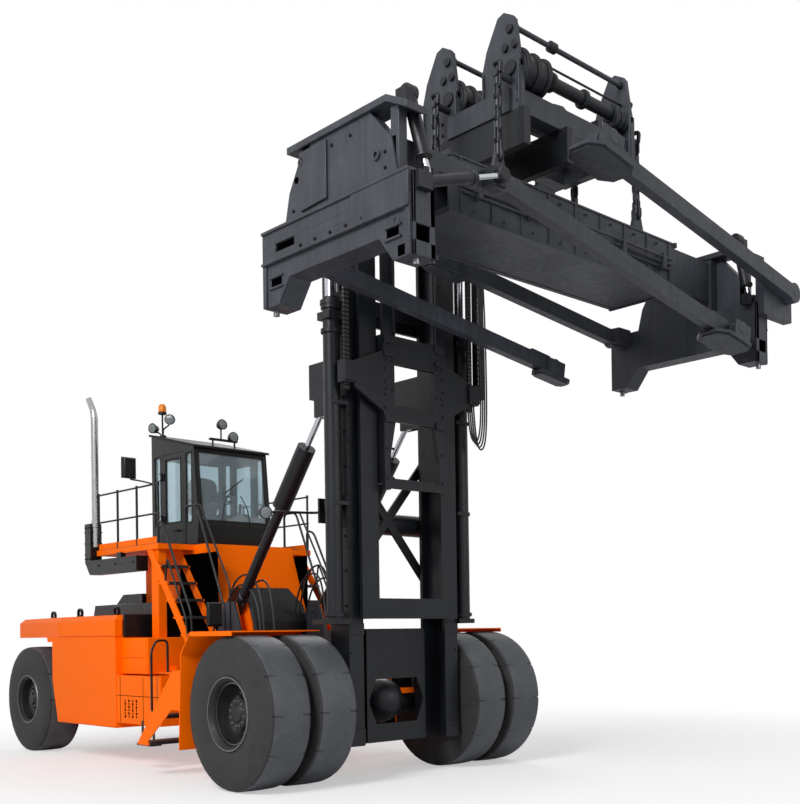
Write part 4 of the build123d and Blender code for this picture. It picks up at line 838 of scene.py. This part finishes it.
carriage_bolts = bolt_heads([(x, -0.86, z) for x in (0.36, 0.45) for z in np.arange(3.70, 7.3, 0.36)],
                            (0, -1, 0), 0.03)
carriage_bolts += bolt_heads([(0.47, -0.86, z) for z in np.arange(4.55, 5.2, 0.16)], (0, -1, 0), 0.03)
ribs = [slab((0.335, 0.49), (-0.885, -0.858), z)
        for z in ((4.38, 4.46), (5.18, 5.24), (5.34, 5.44), (6.9, 6.98))]
ribs += [slab((0.33, 0.35), (-0.90, -0.858), (5.44, 6.92)), slab((0.91, 1.09), (-0.90, -0.879), (4.80, 5.02))]
piece("carriage_fixings", both_sides(carriage_bolts + ribs), black_enamel, "carriage", bevel=0.003)
track = [slab((x, x + 0.012), (-0.80, -0.70), (4.9, 7.3)) for x in (1.15, 1.26)]
track += [slab((1.155, 1.265), (-0.78, -0.76), (z, z + 0.014)) for z in np.arange(4.92, 7.29, 0.07)]
track += [slab((1.06, 1.27), (-0.80, -0.46), (7.29, 7.33))]
piece("hose_track", track, black_enamel, "inner_mast")

hose_rubber, tree = new_material("woven_cover_hydraulic_hose")
weave = noise(tree, place_in(tree), 120.0, 3.0)
tint = two_tones(tree, weave, "#0B0B0C", "#222224")
bump = relief(tree, weave, 0.2, 0.002)
surfaced(tree, {"Base Color": tint, "Roughness": 0.5, "Normal": bump})


def hose(name, route, diameter, body):
    """A hydraulic hose on one smooth spline whose control points are the route."""
    data = bpy.data.curves.new(name, "CURVE")
    data.dimensions = "3D"
    line = data.splines.new("NURBS")
    line.points.add(len(route) - 1)
    places = np.array(route) + zero
    line.points.foreach_set("co", np.column_stack([places, np.ones(len(route))]).ravel())
    line.order_u = 3
    line.use_endpoint_u = True
    line.resolution_u = 12
    made = bpy.data.objects.new(name, data)
    bpy.context.scene.collection.objects.link(made)
    plain = bpy.data.meshes.new_from_object(made)
    bpy.data.meshes.remove(plain)
    data.bevel_depth = diameter / 2
    data.bevel_resolution = 4
    data.use_fill_caps = True
    data.materials.append(hose_rubber)
    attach(made, body)
    return made


for k in range(4):
    x = 1.10 + 0.035 * k
    hose(f"lift_hose_{k + 1}", [(x, -0.62, 7.31), (x, -0.70, 7.26), (x, -0.80, 7.05), (x + 0.02, -0.86, 6.4),
                                (x + 0.03, -0.88, 5.2), (x + 0.02, -0.88, 4.55 - 0.03 * k),
                                (x - 0.04, -0.88, 4.30 - 0.03 * k), (x - 0.13, -0.87, 4.30 - 0.03 * k),
                                (x - 0.16, -0.84, 4.50), (x - 0.16, -0.82, 4.82)], 0.022, "inner_mast")
for k, (x, rise) in enumerate(((-0.715, 0.16), (-0.665, 0.30), (-0.50, 0.22), (0.36, 0.34), (0.45, 0.46),
                               (0.56, 0.28))):
    start_y, end_z = (2.50, 1.325) if x < -0.6 else (2.345, 1.375)
    hose(f"chassis_hose_{k + 1}", [(x, start_y, 2.02), (x, start_y - 0.12, 2.14 + rise),
                                   (x + 0.02, start_y - 0.32, 2.34 + rise),
                                   (x + 0.02, start_y - 0.58, 2.36 + rise), (x, 1.60, 2.10 + rise),
                                   (x, 1.53, 1.70), (x, 1.53, end_z)], 0.028, "chassis")


# Spreader ends: a cladding plate with cut slots over each end frame, the slots and a round
# hole filled with flat black plates of painted shade, a set-in tower with a pressed panel, an
# edge flange, and leg cylinders with chromed rods.
spreader_x, spreader_y, end_reach = 0.6, -2.478, 3.02
hanger_lines = (-2.978, -1.978)


def end_side(s, depth):
    """Place along x at a depth inward from an end frame's outer face."""
    return spreader_x + s * (end_reach - depth)


def end_plate(y, z, depth_out, depth_in, s):
    """A plate on an end frame: y is from the spreader's middle."""
    return slab((end_side(s, depth_out), end_side(s, depth_in)), (spreader_y + y[0], spreader_y + y[1]), z)


for side, s in side_of.items():
    body = f"telescopic_{side}"
    clad = [end_plate((-1.19, 1.19), (5.72, 5.795), -0.035, 0.0, s),
            end_plate((-1.19, 1.19), (5.88, 6.02), -0.035, 0.0, s)]
    clad += [end_plate(y, (5.79, 5.885), -0.035, 0.0, s)
             for y in ((-1.19, -0.97), (-0.632, 0.61), (0.95, 1.19))]
    clad += [end_plate((-1.19, -0.342), (5.70, 6.02), -0.047, -0.030, s)]
    foot = [(-1.19, 5.25), (-0.93, 5.25), (-0.73, 5.50), (0.73, 5.50), (0.93, 5.25), (1.19, 5.25),
            (1.19, 5.71), (-1.19, 5.71)]
    clad.append(prism([(spreader_y + y, z) for y, z in foot], (end_side(s, -0.014), end_side(s, 0.0))))
    clad += [end_plate(y, z, -0.034, -0.010, s)
             for y, z in (((-1.06, -0.82), (5.44, 5.465)), ((-1.06, -0.82), (5.555, 5.58)),
                          ((0.84, 1.08), (5.425, 5.448)), ((0.84, 1.08), (5.537, 5.56)),
                          ((-1.19, -1.13), (5.25, 5.7)), ((1.13, 1.19), (5.25, 5.7)))]
    clad += [end_plate((-1.215, -1.185), (5.25, 6.02), 0.0, 0.03, s),
             end_plate((-1.215, -1.185), (5.25, 6.02), 0.20, 0.26, s),
             end_plate((-1.215, -1.185), (5.54, 6.02), 0.0, 0.26, s),
             end_plate((-1.215, -1.185), (5.25, 5.39), 0.0, 0.26, s)]
    clad += [end_plate((-1.19, 1.19), (6.015, 6.048), -0.055, 0.0, s),
             end_plate((-1.19, 1.19), (5.69, 5.72), -0.055, 0.0, s)]
    flange = [(0.728, 6.742), (0.728, 6.812), (-0.872, 6.812), (-1.168, 6.662), (-1.168, 6.592),
              (-0.872, 6.742)]
    clad.append(prism([(spreader_y + y, z) for y, z in flange], (end_side(s, -0.03), end_side(s, 0.24))))
    clad += [end_plate((0.36, 0.56), (6.60, 6.75), 0.0, 0.05, s),
             end_plate((-1.0, -0.88), (6.02, 6.70), 0.02, 0.12, s)]
    pressed = [(0.51, 6.10), (0.51, 6.70), (0.07, 6.70), (0.07, 6.12)]
    clad.append(prism([(spreader_y + y, z) for y, z in pressed], (end_side(s, -0.024), end_side(s, 0.0))))
    ring = turned([(-0.014, 0.028), (-0.014, 0.05), (0.014, 0.05), (0.014, 0.028)], (0.0, 0.0, 0.0), 2, 28,
                  closed=True)
    clad += [aimed(ring, (1.0, 0.0, 0.0), (end_side(s, -0.01), spreader_y + y, z))
             for y, z in ((0.50, 6.60), (-0.70, 6.30), (-0.98, 5.60))]
    piece(f"end_cladding_{side}", clad, charcoal_enamel, body, bevel=0.006)
    # Flat black plates in the slots, openings and round hole: painted shade where the openings are.
    dark = [end_plate(y, z, -0.003, 0.0, s)
            for y, z in (((-0.975, -0.627), (5.79, 5.885)), ((0.605, 0.955), (5.79, 5.885)))]
    dark += [end_plate(y, z, -0.0165, -0.010, s)
             for y, z in (((-1.02, -0.848), (5.47, 5.55)), ((0.868, 1.05), (5.453, 5.533)),
                          ((-1.10, -1.003), (5.27, 5.37)))]
    dark += [end_plate((-1.193, -1.186), (5.39, 5.54), 0.03, 0.20, s),
             bar((end_side(s, 0.0), spreader_y + 0.60, 6.45), (end_side(s, -0.004), spreader_y + 0.60, 6.45),
                 0.034, 24)]
    piece(f"end_slot_painted_shade_{side}", dark, shade_and_seam_black, body)
    bolts = bolt_heads([(end_side(s, -0.035), spreader_y + y, 5.755) for y in np.arange(-0.5, 0.55, 0.25)],
                       (s, 0, 0), 0.03)
    bolts += bolt_heads([(end_side(s, 0.0), spreader_y + y, z)
                         for y, z in ((-0.82, 6.15), (-0.82, 6.3), (0.66, 6.15), (0.0, 6.62), (-0.3, 6.62))],
                        (s, 0, 0), 0.03)
    bolts += bolt_heads([(end_side(s, d), spreader_y - 1.19, z) for d in (0.05, 0.13, 0.21)
                         for z in (5.62, 5.94)], (0, -1, 0), 0.03)
    piece(f"end_bolts_{side}", bolts, black_enamel, body)
    top, low = np.array([end_side(s, 0.22), -3.39, 6.88]), np.array([end_side(s, 0.27), -3.60, 6.06])
    run = low - top
    barrels = [bar(top, top + run * 0.78, 0.068, 28), bar(top + run * 0.74, top + run * 0.79, 0.080, 28),
               bar(top - (s * 0.06, 0, 0), top + (s * 0.06, 0, 0), 0.09, 28),
               end_plate((-1.0, -0.86), (6.66, 6.90), 0.10, 0.20, s),
               end_plate((-1.17, -1.05), (5.98, 6.12), 0.18, 0.24, s),
               end_plate((-1.17, -1.05), (5.98, 6.12), 0.30, 0.36, s)]
    rods = [bar(top + run * 0.7, low, 0.034, 24)]
    if s < 0:
        back, eye_at = np.array([-2.30, -3.71, 5.93]), np.array([-1.21, -3.63, 6.33])
        run = eye_at - back
        barrels += [bar(back, back + run * 0.62, 0.054, 28),
                    bar(back + run * 0.58, back + run * 0.63, 0.066, 28),
                    slab((-2.40, -2.24), (-3.765, -3.66), (5.85, 6.01)),
                    bar((-1.21, -3.69, 6.33), (-1.21, -3.585, 6.33), 0.07, 28),
                    slab((-1.30, -1.12), (-3.60, -3.43), (6.24, 6.42))]
        rods.append(bar(back + run * 0.55, eye_at, 0.028, 24))
    piece(f"leg_cylinders_{side}", barrels, black_enamel, body, bevel=0.003)
    piece(f"leg_cylinder_rods_{side}", rods, chrome_rod, body)


# Lift legs: a fold hub on each box beam, and at its end an eight-sided shoe plate with a
# smaller wear plate under it, rollers and lugs. The front pair's shoes are the larger ones.
leg_places = {"front_left": (3.95, -3.858, 6.2, -1, 10.5, 4.1),
              "front_right": (-1.15, -3.508, 6.33, 1, -10.5, 4.3),
              "rear_left": (3.2, -1.43, 5.95, -1, 6.5, 3.3), "rear_right": (-2.0, -1.21, 5.98, 1, -8.0, 4.3)}
for name, (x, y, z, way, rise, length) in leg_places.items():
    lean = math.radians(rise)
    frame_of_leg = np.array([(way * math.cos(lean), 0.0, math.sin(lean)), (0.0, way, 0.0),
                             (-way * math.sin(lean), 0.0, math.cos(lean))])
    parts = [slab((length - 0.55, length - 0.2), (-0.05, 0.05), (0.09, 0.13))]
    half = 0.115 if name.startswith("rear") else 0.25
    corner = half * 0.5
    back = 0.42 if name.startswith("rear") else 0.54
    eight = [(length - back, -half + corner), (length - back + corner, -half), (length + 0.2 - corner, -half),
             (length + 0.2, -half + corner), (length + 0.2, half - corner), (length + 0.2 - corner, half),
             (length - back + corner, half), (length - back, half - corner)]
    parts.append(prism(eight, (-0.155, -0.120), 2))
    parts.append(prism([(0.9 * (u - length + 0.11) + length - 0.11, 0.85 * v) for u, v in eight],
                       (-0.175, -0.154), 2))
    parts += [bar((length - 0.10, v * 0.05, 0.03), (length - 0.10, v * (half - 0.022), 0.03), 0.085, 28)
              for v in (-1, 1)]
    parts += [slab((length - 0.26, length + 0.08), sorted((v * (half - 0.05), v * (half - 0.03))),
                   (-0.125, 0.10)) for v in (-1, 1)]
    parts += bolt_heads([(length - 0.3 + 0.12 * k, v * 0.06, -0.12) for k in range(4) for v in (-1, 1)],
                        (0, 0, 1), 0.026)
    placed = [(points @ frame_of_leg + (x, y, z), faces) for points, faces in parts]
    placed += [bar((x, y - 0.064, z), (x, y + 0.064, z), 0.132, 40)]
    piece(f"leg_channel_{name}", placed, charcoal_enamel, f"leg_{name}", bevel=0.003)


# Hanger: wide ear plates, drums with raised rims beside them, tie bars, pins with nuts, and
# the welded chains that carry the spreader.
ear_reach = 0.96
rollers, tie_bars, chains = [], [], []
link_line = [(0.0, -0.024, -0.075), (0.0, 0.024, -0.075), (0.0, 0.045, -0.05), (0.0, 0.045, 0.05),
             (0.0, 0.024, 0.075), (0.0, -0.024, 0.075), (0.0, -0.045, 0.05), (0.0, -0.045, -0.05),
             (0.0, -0.024, -0.075), (0.0, 0.01, -0.075)]
for s in (1, -1):
    ear_x = spreader_x + s * ear_reach
    for y in hanger_lines:
        start = ear_x - s * 0.028
        drum, run = (0.19, 0.40) if s < 0 else (0.11, 0.20)
        rollers.append(bar((start, y, 7.95), (start - s * run, y, 7.95), drum, 40))
        rollers += [bar((start - s * d * run, y, 7.95), (start - s * (d * run + 0.045), y, 7.95), drum * 1.2,
                        40) for d in (0.02, 0.46, 0.88)]
        rollers += [bar((ear_x + s * 0.02, y + dy, z), (ear_x + s * 0.06, y + dy, z), r, 24)
                    for dy, z, r in ((0, 7.93, 0.085), (-0.07, 8.17, 0.045), (0.07, 8.17, 0.045),
                                     (0.0, 8.36, 0.05))]
        rollers += bolt_heads([(ear_x + s * 0.03, y + dy, z) for dy in (-0.11, 0.11) for z in (7.55, 7.68)],
                              (s, 0, 0), 0.034)
        hook_x = ear_x + s * 0.24
        for k in range(7):
            points, faces = bent_tube(link_line, 0.017, 0.03, 10)
            if k % 2:
                points = points[:, [1, 0, 2]]
                faces = [np.asarray(face)[::-1] for face in faces]
            chains.append((points + (hook_x, y, 7.72 - 0.118 * k), faces))
        chains += [bent_tube([(hook_x, y - 0.045, 7.80), (hook_x, y - 0.06, 7.92), (hook_x, y + 0.06, 7.92),
                              (hook_x, y + 0.045, 7.80)], 0.026, 0.05, 12),
                   bent_tube([(hook_x, y - 0.05, 6.98), (hook_x, y - 0.055, 6.86), (hook_x, y + 0.055, 6.86),
                              (hook_x, y + 0.05, 6.98)], 0.024, 0.05, 12)]
ears = []
for s in (1, -1):
    ear_x = spreader_x + s * ear_reach
    for y in hanger_lines:
        wide = [(y - 0.14, 7.47), (y + 0.42, 7.47), (y + 0.45, 8.02), (y + 0.38, 8.24), (y + 0.20, 8.55),
                (y + 0.10, 8.58), (y - 0.04, 8.50), (y - 0.14, 8.0)]
        ears.append(prism(wide, (ear_x - 0.024, ear_x + 0.024)))
        ears += [prism([(y - 0.14 + d, 7.47), (y - 0.12 + d, 7.47), (y - 0.12 + d, 8.0), (y - 0.14 + d, 8.0)],
                       (ear_x - 0.05, ear_x + 0.05)) for d in (0.0, 0.55)]
piece("hanger_ears", ears, charcoal_enamel, "spreader", bevel=0.006)
for y in hanger_lines:
    tie_bars.append(bar((-0.36, y, 8.17), (1.56, y, 8.17), 0.014, 16))
    tie_bars += [bar((spreader_x + d, y, 8.41), (spreader_x + d + 0.05, y, 8.41), 0.042, 24)
                 for d in (-0.93, 0.88)]
tie_bars += [bar((0.24, hanger_lines[0], 8.41), (0.34, hanger_lines[0], 8.41), 0.062, 32),
             bar((0.22, hanger_lines[0], 8.0), (1.36, hanger_lines[0], 8.0), 0.075, 32)]
tie_bars += [bar((x, hanger_lines[0], 8.0), (x + 0.06, hanger_lines[0], 8.0), 0.11, 32)
             for x in (0.22, 0.78, 1.30)]
cross = [slab((x, x + 0.03), (-2.90, -2.06), (7.72, 7.90))
         for x in (0.0, 1.15)] + [slab((-0.30, 1.50), (-2.50, -2.44), (7.66, 7.76))]
cross += [bar((0.1, -2.68, 7.80), (1.0, -2.68, 7.80), 0.06, 28),
          bar((1.0, -2.68, 7.80), (1.3, -2.68, 7.80), 0.032, 20),
          slab((0.0, 0.12), (-2.76, -2.60), (7.70, 7.88))]
piece("hanger_rollers", rollers + cross, black_enamel, "spreader", bevel=0.003)
piece("hanger_tie_bars", tie_bars, black_enamel, "spreader")
piece("spreader_chains", chains, black_enamel, "spreader", smooth=60.0)


# Main beam: flange plates along its edges, cover plates with bolts, pipes in clamps along
# the front, and a shelf with valves.
beam = [slab((-1.36, 2.56), y, z) for y in ((-3.02, -2.95), (-2.005, -1.935))
        for z in ((6.112, 6.135), (6.705, 6.728))]
beam += [slab((x, x + 0.02), (-3.025, -3.005), (6.13, 6.71)) for x in np.arange(-1.2, 2.5, 0.45)]
beam += [slab((-1.37, -1.33), (-3.03, -1.925), z)
         for z in ((6.10, 6.16), (6.68, 6.74))] + [slab((2.53, 2.57), (-3.03, -1.925), z)
                                                   for z in ((6.10, 6.16), (6.68, 6.74))]
beam += [slab((0.2, 0.95), (-2.75, -2.20), (6.72, 6.80)), slab((0.3, 0.62), (-2.7, -2.42), (6.80, 6.95)),
         slab((0.66, 0.86), (-2.66, -2.30), (6.80, 6.90))]
beam += bolt_heads([(x, -3.02, z) for x in np.arange(-1.1, 2.4, 0.45) + 0.1 for z in (6.2, 6.64)], (0, -1, 0),
                   0.03)
beam += [bar((-1.2, -3.035 - 0.02 * k, 6.36 + 0.055 * k), (2.4, -3.035 - 0.02 * k, 6.36 + 0.055 * k), 0.016,
             14) for k in range(3)]
beam += [slab((x, x + 0.05), (-3.10, -3.0), (6.32, 6.52)) for x in np.arange(-1.0, 2.4, 0.8)]
piece("beam_fittings", beam, charcoal_enamel, "spreader", bevel=0.004)


# Seat: foam cushions with a woven cover, on a sprung pedestal. Each cushion is a rounded box
# with a crowned face.
woven, tree = new_material("woven_seat_cover")
place = place_in(tree)
threads = add_node(tree, "ShaderNodeTexVoronoi", {"Vector": place, "Scale": 260.0})
bump = relief(tree, threads.outputs["Distance"], 0.3, 0.002)
tint = two_tones(tree, threads.outputs["Distance"], "#1B1B1D", "#303034")
surfaced(tree, {"Base Color": tint, "Roughness": 0.85, "Normal": bump, "Sheen Weight": 0.3})


def cushion(x, y, z, crown, power=5.0):
    """A crowned pad between two values of x, y and z: a rounded box whose half sizes follow a superellipse of
    longitude and latitude, with its broad face raised by a cosine of both places."""
    rows, columns = 33, 64
    lengthways = np.linspace(-math.pi, math.pi, columns, endpoint=False)
    upward = np.linspace(-math.pi / 2, math.pi / 2, rows)

    def curve(value):
        return np.sign(value) * np.abs(value) ** (2.0 / power)

    a = curve(np.cos(upward))[:, None] * curve(np.cos(lengthways))[None, :]
    b = curve(np.cos(upward))[:, None] * curve(np.sin(lengthways))[None, :]
    c = curve(np.sin(upward))[:, None] * np.ones(columns)[None, :]
    pulled = 1.0 - crown * (1.0 - np.cos(a * math.pi / 2) * np.cos(b * math.pi / 2))
    middle = np.array([sum(pair) / 2 for pair in (x, y, z)])
    half = np.array([(pair[1] - pair[0]) / 2 for pair in (x, y, z)])
    points = np.stack([a, b, c * pulled], axis=-1).reshape(-1, 3) * half + middle
    return points, list(grid_faces(rows, columns))


seat_base = 3.185
pads = [cushion((-0.24, 0.24), (3.77, 4.29), (seat_base + 0.355, seat_base + 0.475), 0.35),
        cushion((-0.24, 0.24), (4.19, 4.31), (seat_base + 0.46, seat_base + 1.10), 0.10),
        cushion((-0.24, 0.24), (4.16, 4.20), (seat_base + 0.55, seat_base + 0.95), 0.20)]
pedestal = turned([(0.0, 0.15), (0.04, 0.16), (0.07, 0.12), (0.30, 0.12), (0.34, 0.17), (0.356, 0.17)],
                  (0.0, 4.02, seat_base), 2, 40)
seat = piece("seat_cushions", pads, woven, "chassis", smooth=60.0)
foot = piece("seat_pedestal", [pedestal], cab_black, "chassis")
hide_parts("driver_seat")
